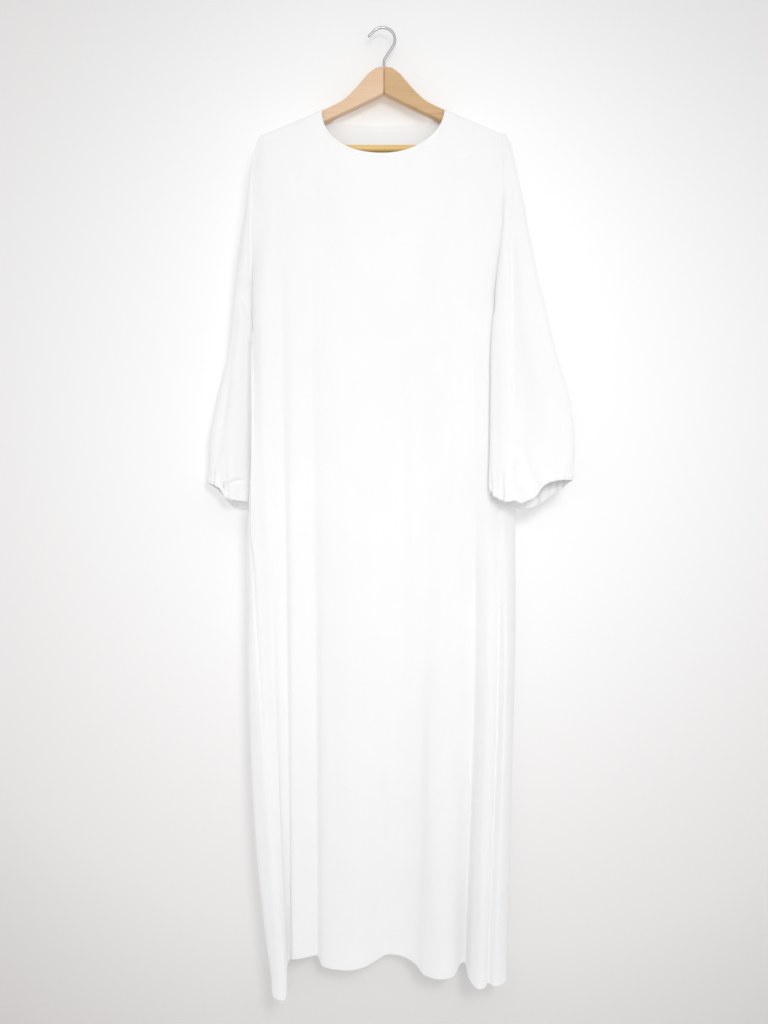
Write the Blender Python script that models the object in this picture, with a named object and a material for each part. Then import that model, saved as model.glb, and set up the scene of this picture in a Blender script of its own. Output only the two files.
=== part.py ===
"""Long white abaya with full sleeves and drawn-in cuffs, hung on a wooden hanger.

Metres, +Z up, the front faces -Y. The origin is under the top of the hook, where it hangs.
The body is a tube of cloth with hanging folds: each named fold line gives its place across the
garment (x) and its depth (y) at a few heights, and the wall follows smooth curves through them.
Sizes below are in millimetres; MM turns them into metres.
"""

import math
from collections import namedtuple

import bmesh
import bpy
from mathutils import Vector

MM = 0.001
LEFT, RIGHT = -1, 1

# Cloth
WALL = 2.0
SEAM_GAP = 0.3
SPREAD_GAP = 1.8  # how much wider the seam's gap is at the underarm and at the shoulder's tip
UNDERARM_SPREAD = 150.0  # the widening fades over this height
TIP_SPREAD = 90.0
SEAM_STRIP = 1.5  # flat strip beside each seam, so that both edges of the seam face each other
REST_GAP = 0.3
TOP_LIFT = 0.6  # the wall is straight between its columns and the arm between its sections

# Hanger
ARM_REACH = 196.0
ARM_THICK = 13.0
ARM_FORWARD = 22.0  # how far the arm's end curves towards the front
ARM_SIDES = 16
ARM_STEPS = 14
ARM_ROUNDING = 6.0
HOOK_WIRE = 4.0
HOOK_RADIUS = 20.0
HOOK_CENTRE = (-2.0, -18.0)
HOOK_TIP_ANGLE = 158.0
HOOK_TURN_ANGLE = -22.0
STEM_DEPTH = 25.0
BAR_DIAMETER = 12.0
BAR_HEIGHT = -206.0
BAR_DEPTH = -20.0
BAR_REACH = 189.0
Outline = namedtuple("Outline", "x z")
ARM_TOP = [
    Outline(0, -64),
    Outline(10, -65),
    Outline(24, -74),
    Outline(38, -90),
    Outline(51, -105),
    Outline(67, -120),
    Outline(79, -127.5),
    Outline(101, -139),
    Outline(ARM_REACH, -188.5),
]
ARM_UNDERSIDE = [
    Outline(0, -108),
    Outline(148, -185.5),
    Outline(170, -199),
    Outline(184, -213),
    Outline(ARM_REACH, -216),
]

# Neck and shoulders
NECK_LEFT, NECK_RIGHT = -101.0, 98.0
NECK_HEIGHT = -136.6
FRONT_NECK_DROP = 83.5
BACK_NECK_DROP = 18.0
NECK_ROUNDNESS = 2.5  # 2 is an ellipse, more is squarer
NECK_CROWDING = 0.7  # how much closer the mesh columns lie at the neck's two corners
SHOULDER_END = {LEFT: -196.0, RIGHT: 189.0}
WRAP = 10.0  # radius of the cloth's turn over the arm
FRONT_YOKE_DEPTH = -38.0

# Heights of the sections
YOKE = -230.0
UNDERARM = -440.0
WRIST = -790.0
HIP = -940.0
MID_HEM = -1530.0
YOKE_ROWS = (0.0, 0.03, 0.09, 0.2, 0.5, 1.0)
ARMHOLE_ROWS = (-300.0, -370.0, -410.0, UNDERARM)
SKIRT_ROWS = 12

# A fold line of the body. top is its place along the upper edge: 0 to 1 is the left shoulder, 1 to 2 the
# neckline, 2 to 3 the right shoulder. steps is the number of mesh columns up to the next line.
Fold = namedtuple("Fold", "name steps top x_chest x_hip x_hem y_chest y_wrist y_hip y_hem hem")
FRONT = [
    Fold("left edge", 2, 0.06, -211, -194, -154.5, -25, -42, -36, -50, -1552),
    Fold("left flank", 2, 0.38, -196, -180, -154, -36, -42, -34, -38, -1540),
    Fold("left flank end", 2, 0.55, -174, -165, -155, -37, -36, -26, -22, -1528),
    Fold("left groove", 2, 0.62, -163, -160, -154, -34, -20, -8, -4, -1514),
    Fold("side panel ridge", 2, 0.70, -153, -150, -148, -37, -30, -20, -18, -1511),
    Fold("side panel", 2, 0.86, -120, -116, -113, -37, -27, -14, -14, -1511),
    Fold("side panel valley", 2, 0.93, -110, -107.5, -106.5, -36, -24, -10, -9, -1512),
    Fold("centre panel edge", 4, 1.0, -98, -98, -98, -38, -35, -29, -26, -1523),
    Fold("centre panel crest", 3, 1.24, -63, -62, -54, -39, -38, -36, -34, -1527),
    Fold("centre panel slope", 3, 1.42, -26, -14, -19, -38, -36, -35, -20, -1521),
    Fold("centre valley", 3, 1.52, 20, 38, 10, -38, -35, -30, -6, -1512),
    Fold("centre rise", 3, 1.62, 55, 64, 49, -38, -35, -31, -17, -1520),
    Fold("second crest", 3, 1.78, 86, 87, 86, -39, -38, -37, -44, -1532),
    Fold("second crest end", 3, 2.0, 108, 112, 111, -38, -37, -34, -37, -1530),
    Fold("bright flank", 2, 2.22, 136, 140, 126, -36, -26, -14, -14, -1524),
    Fold("dark groove", 2, 2.30, 143, 147, 132, -35, -23, -11, -10, -1524),
    Fold("third crest edge", 2, 2.42, 151, 153.5, 135, -36, -32, -32, -44, -1537),
    Fold("third crest", 2, 2.54, 161, 165, 149, -37, -34, -38, -53, -1542),
    Fold("third crest end", 2, 2.66, 170, 177, 159, -36, -32, -34, -50, -1540),
    Fold("thin crease", 2, 2.74, 174, 183, 164.5, -35, -27, -26, -42, -1537),
    Fold("last crest", 2, 2.84, 179, 193, 175, -35, -28, -34, -52, -1537),
    Fold("right edge", 2, 2.93, 185, 211, 192, -35, -14, -14, -38, -1539),
]
BACK = [
    Fold("right turn", 2, 2.96, 200, 215, 195, -24, 8, 6, -2, -1534),
    Fold("back fold 1", 2, 2.80, 207, 199, 183, -12, 10, 13, 13, -1526),
    Fold("back valley 1", 2, 2.50, 178, 166, 158, 4, 6, 3, -1, -1518),
    Fold("back fold 2", 2, 2.25, 136, 128, 126, 9, 13, 15, 17, -1518),
    Fold("back valley 2", 3, 2.02, 92, 90, 92, 9, 7, 4, 1, -1516),
    Fold("back fold 3", 3, 1.76, 46, 46, 52, 10, 13, 15, 17, -1516),
    Fold("back valley 3", 3, 1.52, 4, 0, 10, 9, 8, 5, 2, -1512),
    Fold("back fold 4", 3, 1.28, -38, -44, -34, 10, 12, 15, 17, -1514),
    Fold("back valley 4", 2, 1.02, -80, -88, -78, 9, 7, 4, 2, -1512),
    Fold("back fold 5", 2, 0.76, -122, -128, -116, 8, 8, 14, 16, -1512),
    Fold("back valley 5", 2, 0.52, -158, -166, -148, 1, -14, 4, 3, -1514),
    Fold("back fold 6", 2, 0.28, -184, -195, -168, -8, -26, 9, 8, -1522),
    Fold("left outer fold", 2, 0.10, -199, -217, -176, -12, -31, -12, -36, -1548),
    Fold("left front crest", 2, 0.03, -205, -213, -169, -12, -38, -28, -53, -1556),
]

# A seam at the garment's side. In the armhole the front and the back edge lie apart, with the sleeve
# between them; from the underarm down they are one.
Seam = namedtuple("Seam", "z front_x front_y back_x back_y")
SIDE_SEAMS = {
    LEFT: [
        Seam(YOKE, -209.5, -31, -200, -10),
        Seam(-300, -211.5, -30, -198, -2),
        Seam(-370, -212, -26, -199, -4),
        Seam(-410, -211.5, -19, -204, -8),
        Seam(UNDERARM, -208, -13, -208, -13),
        Seam(-520, -211, -30, -211, -30),
        Seam(WRIST, -212, -40, -212, -40),
        Seam(HIP, -205, -35, -205, -35),
        Seam(-1300, -178, -50, -178, -50),
        Seam(-1557, -157, -58, -157, -58),
    ],
    RIGHT: [
        Seam(YOKE, 189, -37, 206, -6),
        Seam(-300, 189, -38, 210, 0),
        Seam(-370, 189, -38, 210, -6),
        Seam(-410, 189.5, -37, 205, -18),
        Seam(UNDERARM, 191, -35, 191, -35),
        Seam(-520, 199, -30, 199, -30),
        Seam(-640, 208, -17, 208, -17),
        Seam(WRIST, 214, -5, 214, -5),
        Seam(HIP, 214, -4, 214, -4),
        Seam(-1300, 205, -8, 205, -8),
        Seam(-1539, 196, -24, 196, -24),
    ],
}

# A section of a sleeve: the place of its outer and inner folds, its middle depth and half its thickness,
# and how deep the long valley in its front is.
Sleeve = namedtuple("Sleeve", "z outer inner middle half valley")
SLEEVES = {
    LEFT: [
        Sleeve(-190, -199, -196, -20, 7, 0),
        Sleeve(-197, -204, -197, -20, 8, 0),
        Sleeve(-209, -207, -198, -19, 10, 0),
        Sleeve(YOKE, -214, -200, -18, 11, 0),
        Sleeve(-300, -225, -202, -13, 14, 0),
        Sleeve(-370, -237, -205, -8, 15, 1),
        Sleeve(-410, -242, -207, -5, 15, 2),
        Sleeve(UNDERARM, -246, -208, -2, 15, 3),
        Sleeve(-530, -256, -202, 1, 14, 5),
        Sleeve(-620, -277, -188, 2, 14, 6),
        Sleeve(-685, -287, -178, 2, 14, 5),
        Sleeve(-730, -287, -171, 2, 14, 3),
    ],
    RIGHT: [
        Sleeve(-187, 197, 190, -20, 7, 0),
        Sleeve(-195, 202, 192, -20, 8, 0),
        Sleeve(-209, 206, 194, -21, 10, 0),
        Sleeve(YOKE, 210, 196, -22, 12, 0),
        Sleeve(-300, 224, 192, -28, 16, 2),
        Sleeve(-370, 236, 190, -38, 17, 4),
        Sleeve(-410, 241, 190, -46, 17, 5),
        Sleeve(UNDERARM, 247, 184, -52, 16, 6),
        Sleeve(-530, 266, 169, -58, 17, 8),
        Sleeve(-620, 291, 168, -60, 19, 8),
        Sleeve(-685, 298, 167, -60, 20, 6),
        Sleeve(-730, 297, 166, -60, 20, 3),
    ],
}
SLEEVE_COLUMNS = 36
VALLEY_PLACE = 0.40  # from the sleeve's inner fold to its outer one
VALLEY_WIDTH = 0.14
ARMHOLE_TRIM = 50.0  # degrees of the ring's inner fold that an open row leaves out at each edge
UNDERARM_CLEAR = 4.5  # the sleeve's wall passes the body's at the foot of the armhole
LOWER_ROWS = (-485.0, -545.0, -610.0, -670.0, -715.0)
GATHERS = 9
GATHER_DEPTH = 1.8

# The cuff's lower edge, by angle round the sleeve: 0 is the outer fold, 90 the front, 180 the inner fold.
Rim = namedtuple("Rim", "angle height")
CUFF_RIMS = {
    LEFT: [
        Rim(0, -745),
        Rim(40, -752),
        Rim(90, -772),
        Rim(140, -776),
        Rim(180, -778),
        Rim(225, -788),
        Rim(270, -788),
        Rim(320, -768),
        Rim(360, -745),
    ],
    RIGHT: [
        Rim(0, -742),
        Rim(42, -742),
        Rim(60, -756),
        Rim(78, -776),
        Rim(100, -783),
        Rim(140, -780),
        Rim(180, -754),
        Rim(225, -768),
        Rim(270, -778),
        Rim(320, -764),
        Rim(360, -742),
    ],
}
CUFF_TALL = 11.0

# Finishes: colour, roughness, metallic
FINISHES = {
    "white cloth": ((0.90, 0.91, 0.93), 0.85, 0.0),
    "pale wood": ((0.72, 0.47, 0.27), 0.45, 0.0),
    "warm wood": ((0.60, 0.36, 0.16), 0.45, 0.0),
    "bright steel": ((0.75, 0.75, 0.76), 0.22, 1.0),
}


def clear_scene():
    """Remove whatever the scene holds."""
    for obj in list(bpy.data.objects):
        bpy.data.objects.remove(obj, do_unlink=True)


def finish_of(name):
    """The named material, made the first time it is asked for."""
    material = bpy.data.materials.get(name)
    if material:
        return material
    colour, roughness, metallic = FINISHES[name]
    material = bpy.data.materials.new(name)
    material.use_nodes = True
    shader = material.node_tree.nodes["Principled BSDF"]
    shader.inputs["Base Color"].default_value = (*colour, 1.0)
    shader.inputs["Roughness"].default_value = roughness
    shader.inputs["Metallic"].default_value = metallic
    return material


def object_of(name, mesh_maker, material):
    """A new object from a filled bmesh, smooth shaded."""
    mesh = bpy.data.meshes.new(name)
    mesh_maker.to_mesh(mesh)
    mesh_maker.free()
    mesh.shade_smooth()
    mesh.set_sharp_from_angle(angle=math.radians(50))
    obj = bpy.data.objects.new(name, mesh)
    obj.data.materials.append(finish_of(material))
    bpy.context.scene.collection.objects.link(obj)
    return obj


def through(stops, values, at):
    """Height of a smooth curve through the values at the stops, which never swings past them."""
    if stops[0] > stops[-1]:
        stops = stops[::-1]
        values = values[::-1]
    if at <= stops[0]:
        return values[0]
    if at >= stops[-1]:
        return values[-1]
    spans = [b - a for a, b in zip(stops, stops[1:])]
    rises = [(b - a) / s for a, b, s in zip(values, values[1:], spans)]
    slopes = [rises[0]]
    for before, after in zip(rises, rises[1:]):
        slopes.append(2 * before * after / (before + after) if before * after > 0 else 0.0)
    slopes.append(rises[-1])
    i = max(n for n, stop in enumerate(stops[:-1]) if stop <= at)
    t = (at - stops[i]) / spans[i]
    hermite = (
        (1 + 2 * t) * (1 - t) ** 2 * values[i]
        + t * (1 - t) ** 2 * spans[i] * slopes[i]
        + t * t * (3 - 2 * t) * values[i + 1]
        + t * t * (t - 1) * spans[i] * slopes[i + 1]
    )
    return hermite


def by_column(rows, key, column, at):
    """The named column of a table, read at a value of its key column."""
    return through([getattr(r, key) for r in rows], [getattr(r, column) for r in rows], at)


def bend(before, start, end, after, t):
    """Point at t from 0 to 1 between start and end, on a curve through all four points."""
    points = [Vector(p) for p in (before, start, end, after)]
    knots = [0.0]
    for a, b in zip(points, points[1:]):
        knots.append(knots[-1] + max((b - a).length, 1e-6) ** 0.5)
    at = knots[1] + (knots[2] - knots[1]) * t

    def mix(p, q, low, high):
        return p + (q - p) * ((at - low) / (high - low))

    a = mix(points[0], points[1], knots[0], knots[1])
    b = mix(points[1], points[2], knots[1], knots[2])
    c = mix(points[2], points[3], knots[2], knots[3])
    d = mix(a, b, knots[0], knots[2])
    e = mix(b, c, knots[1], knots[3])
    return mix(d, e, knots[1], knots[2])


def arm_middle(x):
    """Depth of the middle of the hanger's arm, which curves forward to its end."""
    return -ARM_FORWARD * (min(abs(x), ARM_REACH) / ARM_REACH) ** 2


def shoulder_height(x):
    """Height of the middle of the cloth's wall where it lies on the arm."""
    return by_column(ARM_TOP, "x", "z", abs(x)) + REST_GAP + WALL / 2 + TOP_LIFT


def neck_point(turn, drop):
    """Point of the neckline, turn going from 0 at the left shoulder to 1 at the right one."""
    angle = math.pi * turn - NECK_CROWDING / 2 * math.sin(2 * math.pi * turn)
    across = math.copysign(abs(math.cos(angle)) ** (2 / NECK_ROUNDNESS), math.cos(angle))
    down = abs(math.sin(angle)) ** (2 / NECK_ROUNDNESS)
    middle = (NECK_LEFT + NECK_RIGHT) / 2
    half = (NECK_RIGHT - NECK_LEFT) / 2
    return middle - half * across, NECK_HEIGHT - drop * down


def upper_edge(top, drop):
    """(x, z) of the panel's upper edge at top, from 0 at the left sleeve to 3 at the right one."""
    if top < 1:
        x = SHOULDER_END[LEFT] + (NECK_LEFT - SHOULDER_END[LEFT]) * top
        return x, shoulder_height(x)
    if top > 2:
        x = NECK_RIGHT + (SHOULDER_END[RIGHT] - NECK_RIGHT) * (top - 2)
        return x, shoulder_height(x)
    x, z = neck_point(top - 1, drop)
    return x, z


def over_arm(x, z, yoke_depth):
    """Depth of the wall above the yoke: it turns over the arm and slopes down to the yoke's depth."""
    top = shoulder_height(x)
    fall = max(top - z, 0.0)
    away = math.copysign(WRAP, yoke_depth - arm_middle(x))
    line = arm_middle(x) + away
    line += (yoke_depth - line) * min(fall / (top - YOKE), 1.0)
    turn = min(fall / WRAP, 1.0)
    return arm_middle(x) + (line - arm_middle(x)) * math.sqrt(1 - (1 - turn) ** 2)


def edge_point(side, face, z):
    """(x, y) of the side edge of the front or back panel, which is the sleeve's edge in the armhole."""
    rows = SIDE_SEAMS[side]
    x = by_column(rows, "z", face + "_x", z)
    y = by_column(rows, "z", face + "_y", z)
    if z > YOKE:
        end = SHOULDER_END[side]
        top = shoulder_height(end)
        share = (top - z) / (top - YOKE)
        x = end + (x - end) * share ** 0.8
        y = over_arm(end, z, y)
    return x, y


def edge_heights(side):
    """Heights of the mesh rows at a side seam, from the shoulder down to the underarm."""
    top = shoulder_height(SHOULDER_END[side])
    heights = [top + (YOKE - top) * share for share in YOKE_ROWS]
    return heights + list(ARMHOLE_ROWS)


def fold_point(fold, face, z):
    """(x, y) of a fold line at a height from the yoke down."""
    on_neck = 1 <= fold.top <= 2
    x_yoke = fold.x_chest if on_neck else upper_edge(fold.top, 0)[0]
    y_yoke = FRONT_YOKE_DEPTH if face == "front" else arm_middle(x_yoke) + WRAP + 1
    x = through([YOKE, UNDERARM, HIP, MID_HEM], [x_yoke, fold.x_chest, fold.x_hip, fold.x_hem], z)
    depths = [y_yoke, fold.y_chest, fold.y_wrist, fold.y_hip, fold.y_hem]
    return x, through([YOKE, UNDERARM, WRIST, HIP, MID_HEM], depths, z)


def panel_columns(table):
    """(line number, share towards the next line) of every mesh column, seams at both ends."""
    columns = [(0, 0.0), (0, 0.5)]
    for number, fold in enumerate(table):
        for step in range(fold.steps):
            columns.append((number + 1, step / fold.steps))
    columns.append((len(table) + 1, 0.0))
    return columns


def face_table(face):
    """The fold lines of a face, and the side that its first line is next to."""
    return (FRONT, LEFT) if face == "front" else (BACK, RIGHT)


def inner_fold(side, face):
    """The fold line of a face that is nearest to a side seam."""
    table, first_side = face_table(face)
    return table[0] if side == first_side else table[-1]


def edge_direction(side, face, z):
    """Horizontal direction in which a panel's wall crosses its side seam, leaving the panel."""
    if z > YOKE:
        return Vector((side, 0))
    seam = Vector(edge_point(side, face, z))
    before = Vector(fold_point(inner_fold(side, face), face, z))
    if z > UNDERARM + 1:
        ring = open_section(side, z)
        after = ring[3] if face == "front" else ring[-4]
        after = Vector((after.x, after.y))
    else:
        other = "back" if face == "front" else "front"
        after = Vector(fold_point(inner_fold(side, other), other, z))
    return ((seam - before).normalized() + (after - seam).normalized()).normalized()


def seam_gap(z):
    """Width of a side seam's gap: wider at the underarm, where four edges meet, and over the arm's tip."""
    at_underarm = 1 - abs(z - UNDERARM) / UNDERARM_SPREAD
    at_tip = 1 - (shoulder_height(SHOULDER_END[RIGHT]) - z) / TIP_SPREAD
    return SEAM_GAP + SPREAD_GAP * min(max(at_underarm, at_tip, 0), 1)


def row_height(row, z_top, hem):
    """Height of a panel's mesh row in a column that runs from z_top to hem."""
    if row < len(YOKE_ROWS):
        return z_top + (YOKE - z_top) * YOKE_ROWS[row]
    row -= len(YOKE_ROWS)
    if row < len(ARMHOLE_ROWS):
        return ARMHOLE_ROWS[row]
    row -= len(ARMHOLE_ROWS)
    return UNDERARM + (hem - UNDERARM) * (row + 1) / SKIRT_ROWS


def panel_surface(face, drop):
    """Rows of points of the middle of a body panel's wall, from the upper edge to the hem."""
    table, start_side = face_table(face)
    last = len(table) + 1
    tops = [0.0, *(f.top for f in table), 3.0]
    hems = [SIDE_SEAMS[LEFT][-1].z, *(f.hem for f in table), SIDE_SEAMS[RIGHT][-1].z]
    if start_side == RIGHT:
        tops[0], tops[-1] = 3.0, 0.0
        hems[0], hems[-1] = hems[-1], hems[0]

    def line(number, z):
        if number in (-1, 0):
            seam = Vector(edge_point(start_side, face, z))
            return seam + edge_direction(start_side, face, z) * (5.0 if number else 0.0)
        if number in (last, last + 1):
            seam = Vector(edge_point(-start_side, face, z))
            return seam + edge_direction(-start_side, face, z) * (5.0 if number > last else 0.0)
        return Vector(fold_point(table[number - 1], face, z))

    def place(number, share, z):
        if not share:
            return line(number, z)
        return bend(*(line(number + n, z) for n in (-1, 0, 1, 2)), share)

    rows = []
    for row in range(len(YOKE_ROWS) + len(ARMHOLE_ROWS) + SKIRT_ROWS):
        points = []
        for number, share in panel_columns(table):
            after = min(number + 1, last)
            top = tops[number] + (tops[after] - tops[number]) * share
            hem = hems[number] + (hems[after] - hems[number]) * share
            x_top, z_top = upper_edge(top, drop)
            z = row_height(row, z_top, hem)
            x, y = place(number, share, min(z, YOKE))
            if number in (0, last) and not share:
                x, y = line(number, z)
            elif z > YOKE:
                x = x_top + (x - x_top) * YOKE_ROWS[row]
                y = over_arm(x, z, y)
            points.append(Vector((x, y, z)))
        rows.append(points)
    return rows


def parted(rows, face):
    """The panel's rows with its edges moved back from the seams, and a flat strip beside each."""
    table, start_side = face_table(face)
    turned = []
    for points in rows:
        z = points[0].z
        ends = []
        for side, seam in ((start_side, points[0]), (-start_side, points[-1])):
            inward = -edge_direction(side, face, seam.z).to_3d()
            ends.append([seam + inward * seam_gap(seam.z) / 2, seam + inward * SEAM_STRIP])
        turned.append([*ends[0], *points[1:-1], *ends[1][::-1]])
    away = Vector((0, -1 if face == "front" else 1, 0))
    edge = []
    strip = []
    for top_point, next_point in zip(turned[0], turned[1]):
        on_shoulder = not NECK_LEFT + 0.5 < top_point.x < NECK_RIGHT - 0.5
        if on_shoulder:
            edge.append(top_point + away * SEAM_GAP / 2)
            strip.append(top_point + away * SEAM_STRIP)
        else:
            edge.append(top_point)
            strip.append(top_point.lerp(next_point, 0.5))
    return [edge, strip, *turned[1:]]


def cloth(name, rows, closed_from=None, outward=1):
    """A wall of cloth round a surface of rows of points. From row closed_from on, each row is a ring."""
    maker = bmesh.new()
    made = []
    for number, points in enumerate(rows):
        verts = [maker.verts.new(p * MM) for p in points]
        if closed_from is not None and number >= closed_from:
            maker.verts.remove(verts[-1])
            verts[-1] = verts[0]
        made.append(verts)
    for upper, lower in zip(made, made[1:]):
        for i in range(len(upper) - 1):
            corners = [upper[i], lower[i], lower[i + 1], upper[i + 1]]
            maker.faces.new(corners[::outward])
    bmesh.ops.remove_doubles(maker, verts=maker.verts, dist=1e-7)
    obj = object_of(name, maker, "white cloth")
    wall = obj.modifiers.new("wall", "SOLIDIFY")
    wall.thickness = WALL * MM
    wall.offset = 0.0
    wall.use_quality_normals = True
    return obj


def build_panels():
    """Front and back of the body, from the left seam to the right one and back round."""
    for face, drop in (("front", FRONT_NECK_DROP), ("back", BACK_NECK_DROP)):
        cloth(face, parted(panel_surface(face, drop), face))


def ring_point(section, angle):
    """(x, y) of a sleeve's flattened ring at an angle: 0 outer fold, 90 front, 180 inner fold."""
    turn = math.radians(angle)
    middle = (section.outer + section.inner) / 2
    reach = (section.outer - section.inner) / 2
    across = math.copysign(abs(math.cos(turn)) ** 0.85, math.cos(turn))
    depth = math.copysign(abs(math.sin(turn)) ** 0.8, math.sin(turn))
    x = middle + reach * across
    y = section.middle - section.half * depth
    if 0 < angle < 180:
        place = (1 - across) / 2
        y += section.valley * math.exp(-(((1 - VALLEY_PLACE - place) / VALLEY_WIDTH) ** 2))
    return x, y


def sleeve_section(side, z):
    """The sleeve's section at a height, read from its table."""
    rows = SLEEVES[side]
    names = Sleeve._fields[1:]
    return Sleeve(z, *(by_column(rows, "z", name, z) for name in names))


def rim_height(side, angle):
    """Height of the cuff's lower edge at an angle round the sleeve."""
    return by_column(CUFF_RIMS[side], "angle", "height", angle % 360)


def column_angle(number):
    """Angle of a sleeve's mesh column, from the inner fold by the front to the inner fold again."""
    return 180 - 360 * number / SLEEVE_COLUMNS


def head_row(side):
    """The sleeve's first row, which lies along the top of the armhole over the arm's end."""
    height = edge_heights(side)[1]
    end = SHOULDER_END[side]
    crown = Vector((end, arm_middle(end), shoulder_height(end)))
    front = Vector((*edge_point(side, "front", height), height))
    back = Vector((*edge_point(side, "back", height), height))
    half = SLEEVE_COLUMNS // 2
    points = [front.lerp(crown, n / half) for n in range(half)]
    points += [crown.lerp(back, n / half) for n in range(half + 1)]
    return points


def open_section(side, z):
    """A row of the sleeve in the armhole: from the front edge round the outer fold to the back edge."""
    section = sleeve_section(side, z)
    clear = Vector((0, -side * UNDERARM_CLEAR)) if z < UNDERARM + 1 else Vector((0, 0))
    first = Vector(ring_point(section, 180 - ARMHOLE_TRIM))
    last = Vector(ring_point(section, 180 + ARMHOLE_TRIM))
    start = Vector(edge_point(side, "front", z)) + clear - first
    finish = Vector(edge_point(side, "back", z)) + clear - last
    points = []
    for n in range(SLEEVE_COLUMNS + 1):
        share = n / SLEEVE_COLUMNS
        angle = (180 - ARMHOLE_TRIM) * (1 - 2 * share)
        weight = abs(math.cos(math.pi * share)) ** 4
        shift = (start if share < 0.5 else finish) * weight
        place = Vector(ring_point(section, angle % 360)) + shift
        points.append(Vector((place.x, place.y, z)))
    return points


def closed_section(side, z):
    """A whole level ring of the sleeve."""
    section = sleeve_section(side, z)
    places = [ring_point(section, column_angle(n)) for n in range(SLEEVE_COLUMNS + 1)]
    return [Vector((x, y, z)) for x, y in places]


def waved_point(side, angle, z, share):
    """Point of the sleeve near the cuff, with its gathers as deep as share says."""
    x, y = ring_point(sleeve_section(side, z), angle % 360)
    turn = math.radians(angle)
    wave = GATHER_DEPTH * share * math.cos(turn * GATHERS)
    return Vector((x + wave * math.cos(turn) * side, y - wave * math.sin(turn), z))


def end_rows(side):
    """The rows between the last level ring and the top of the cuff, which follow the cuff's slant."""
    above = LOWER_ROWS[-1]
    rows = []
    for share, lift in ((0.35, 0.0), (0.7, 0.0), (1.0, 2 * SEAM_STRIP), (1.0, 3 * SEAM_GAP)):
        points = []
        for n in range(SLEEVE_COLUMNS + 1):
            angle = column_angle(n)
            end = rim_height(side, angle) + CUFF_TALL
            points.append(waved_point(side, angle, above + (end - above) * share + lift, share))
        rows.append(points)
    return rows


def armhole_parted(side, points, z):
    """An open row of the sleeve with its two edges moved off the seam, and a flat strip beside each."""
    ends = []
    for face, seam, beside in (("front", points[0], points[1]), ("back", points[-1], points[-2])):
        outward = edge_direction(side, face, z).to_3d()
        gap = seam_gap(z)
        strip = gap + min(SEAM_STRIP, 0.4 * (beside - seam).length)
        ends.append([seam + outward * gap, seam + outward * strip])
    return [*ends[0], *points[1:-1], *ends[1][::-1]]


def sleeve_rows(side):
    """Rows of points of the middle of a sleeve's wall, and the number of its first whole ring."""
    outward = Vector((side, 0, 0))
    head = head_row(side)
    rows = [
        [p + outward * SEAM_GAP * 2 for p in [head[0], *head, head[-1]]],
        [p + outward * 2 * SEAM_STRIP for p in [head[0], *head, head[-1]]],
    ]
    for z in edge_heights(side)[2:-1]:
        rows.append(armhole_parted(side, open_section(side, z), z))
    first_ring = len(rows)
    for z in (UNDERARM, *LOWER_ROWS):
        ring = open_section(side, z) if z == UNDERARM else closed_section(side, z)
        rows.append([ring[0], *ring, ring[-1]])
    for ring in end_rows(side):
        rows.append([ring[0], *ring, ring[-1]])
    return rows, first_ring


def build_sleeves():
    """Both sleeves: open in the armhole, a ring from the underarm down."""
    for side, name in ((LEFT, "sleeve_left"), (RIGHT, "sleeve_right")):
        rows, first_ring = sleeve_rows(side)
        cloth(name, rows, closed_from=first_ring, outward=side)


def build_cuffs():
    """A plain casing round each sleeve's end, with the sleeve's own gathers in it."""
    for side, name in ((LEFT, "cuff_left"), (RIGHT, "cuff_right")):
        rows = []
        for share in (0.0, 0.14, 1.0):
            points = []
            for n in range(SLEEVE_COLUMNS + 1):
                angle = column_angle(n)
                z = rim_height(side, angle) + (CUFF_TALL - SEAM_GAP / 2) * (1 - share)
                points.append(waved_point(side, angle, z, 1.0))
            rows.append(points)
        cloth(name, rows, closed_from=0, outward=side)


def arm_ring(x, shrink):
    """Corners of the arm's rounded section at x, drawn in towards its middle by shrink."""
    top = by_column(ARM_TOP, "x", "z", abs(x)) - shrink
    low = by_column(ARM_UNDERSIDE, "x", "z", abs(x)) + shrink
    half = ARM_THICK / 2 - shrink
    round_off = min(half, ARM_ROUNDING)
    points = []
    for n in range(ARM_SIDES):
        angle = 2 * math.pi * (n + 0.5) / ARM_SIDES
        side_y = math.copysign(half - round_off, math.cos(angle))
        side_z = math.copysign((top - low) / 2 - round_off, math.sin(angle))
        y = arm_middle(x) + side_y + round_off * math.cos(angle)
        z = (top + low) / 2 + side_z + round_off * math.sin(angle)
        points.append(Vector((x, y, z)))
    return points


def cylinder_along(name, start, end, radius, material):
    """A closed round rod between two points."""
    maker = bmesh.new()
    axis = (end - start) * MM
    bmesh.ops.create_cone(
        maker, cap_ends=True, segments=24, radius1=radius * MM, radius2=radius * MM, depth=axis.length
    )
    turn = axis.to_track_quat("Z", "Y").to_matrix()
    bmesh.ops.rotate(maker, verts=maker.verts, cent=(0, 0, 0), matrix=turn)
    bmesh.ops.translate(maker, verts=maker.verts, vec=(start + end) * MM / 2)
    return object_of(name, maker, material)


def cut(obj, cutter):
    """Subtract a guide from an object, and keep the guide out of the model."""
    cutter.hide_render = True
    cutter.display_type = "WIRE"
    hole = obj.modifiers.new("hole for " + cutter.name, "BOOLEAN")
    hole.operation = "DIFFERENCE"
    hole.object = cutter


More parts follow.
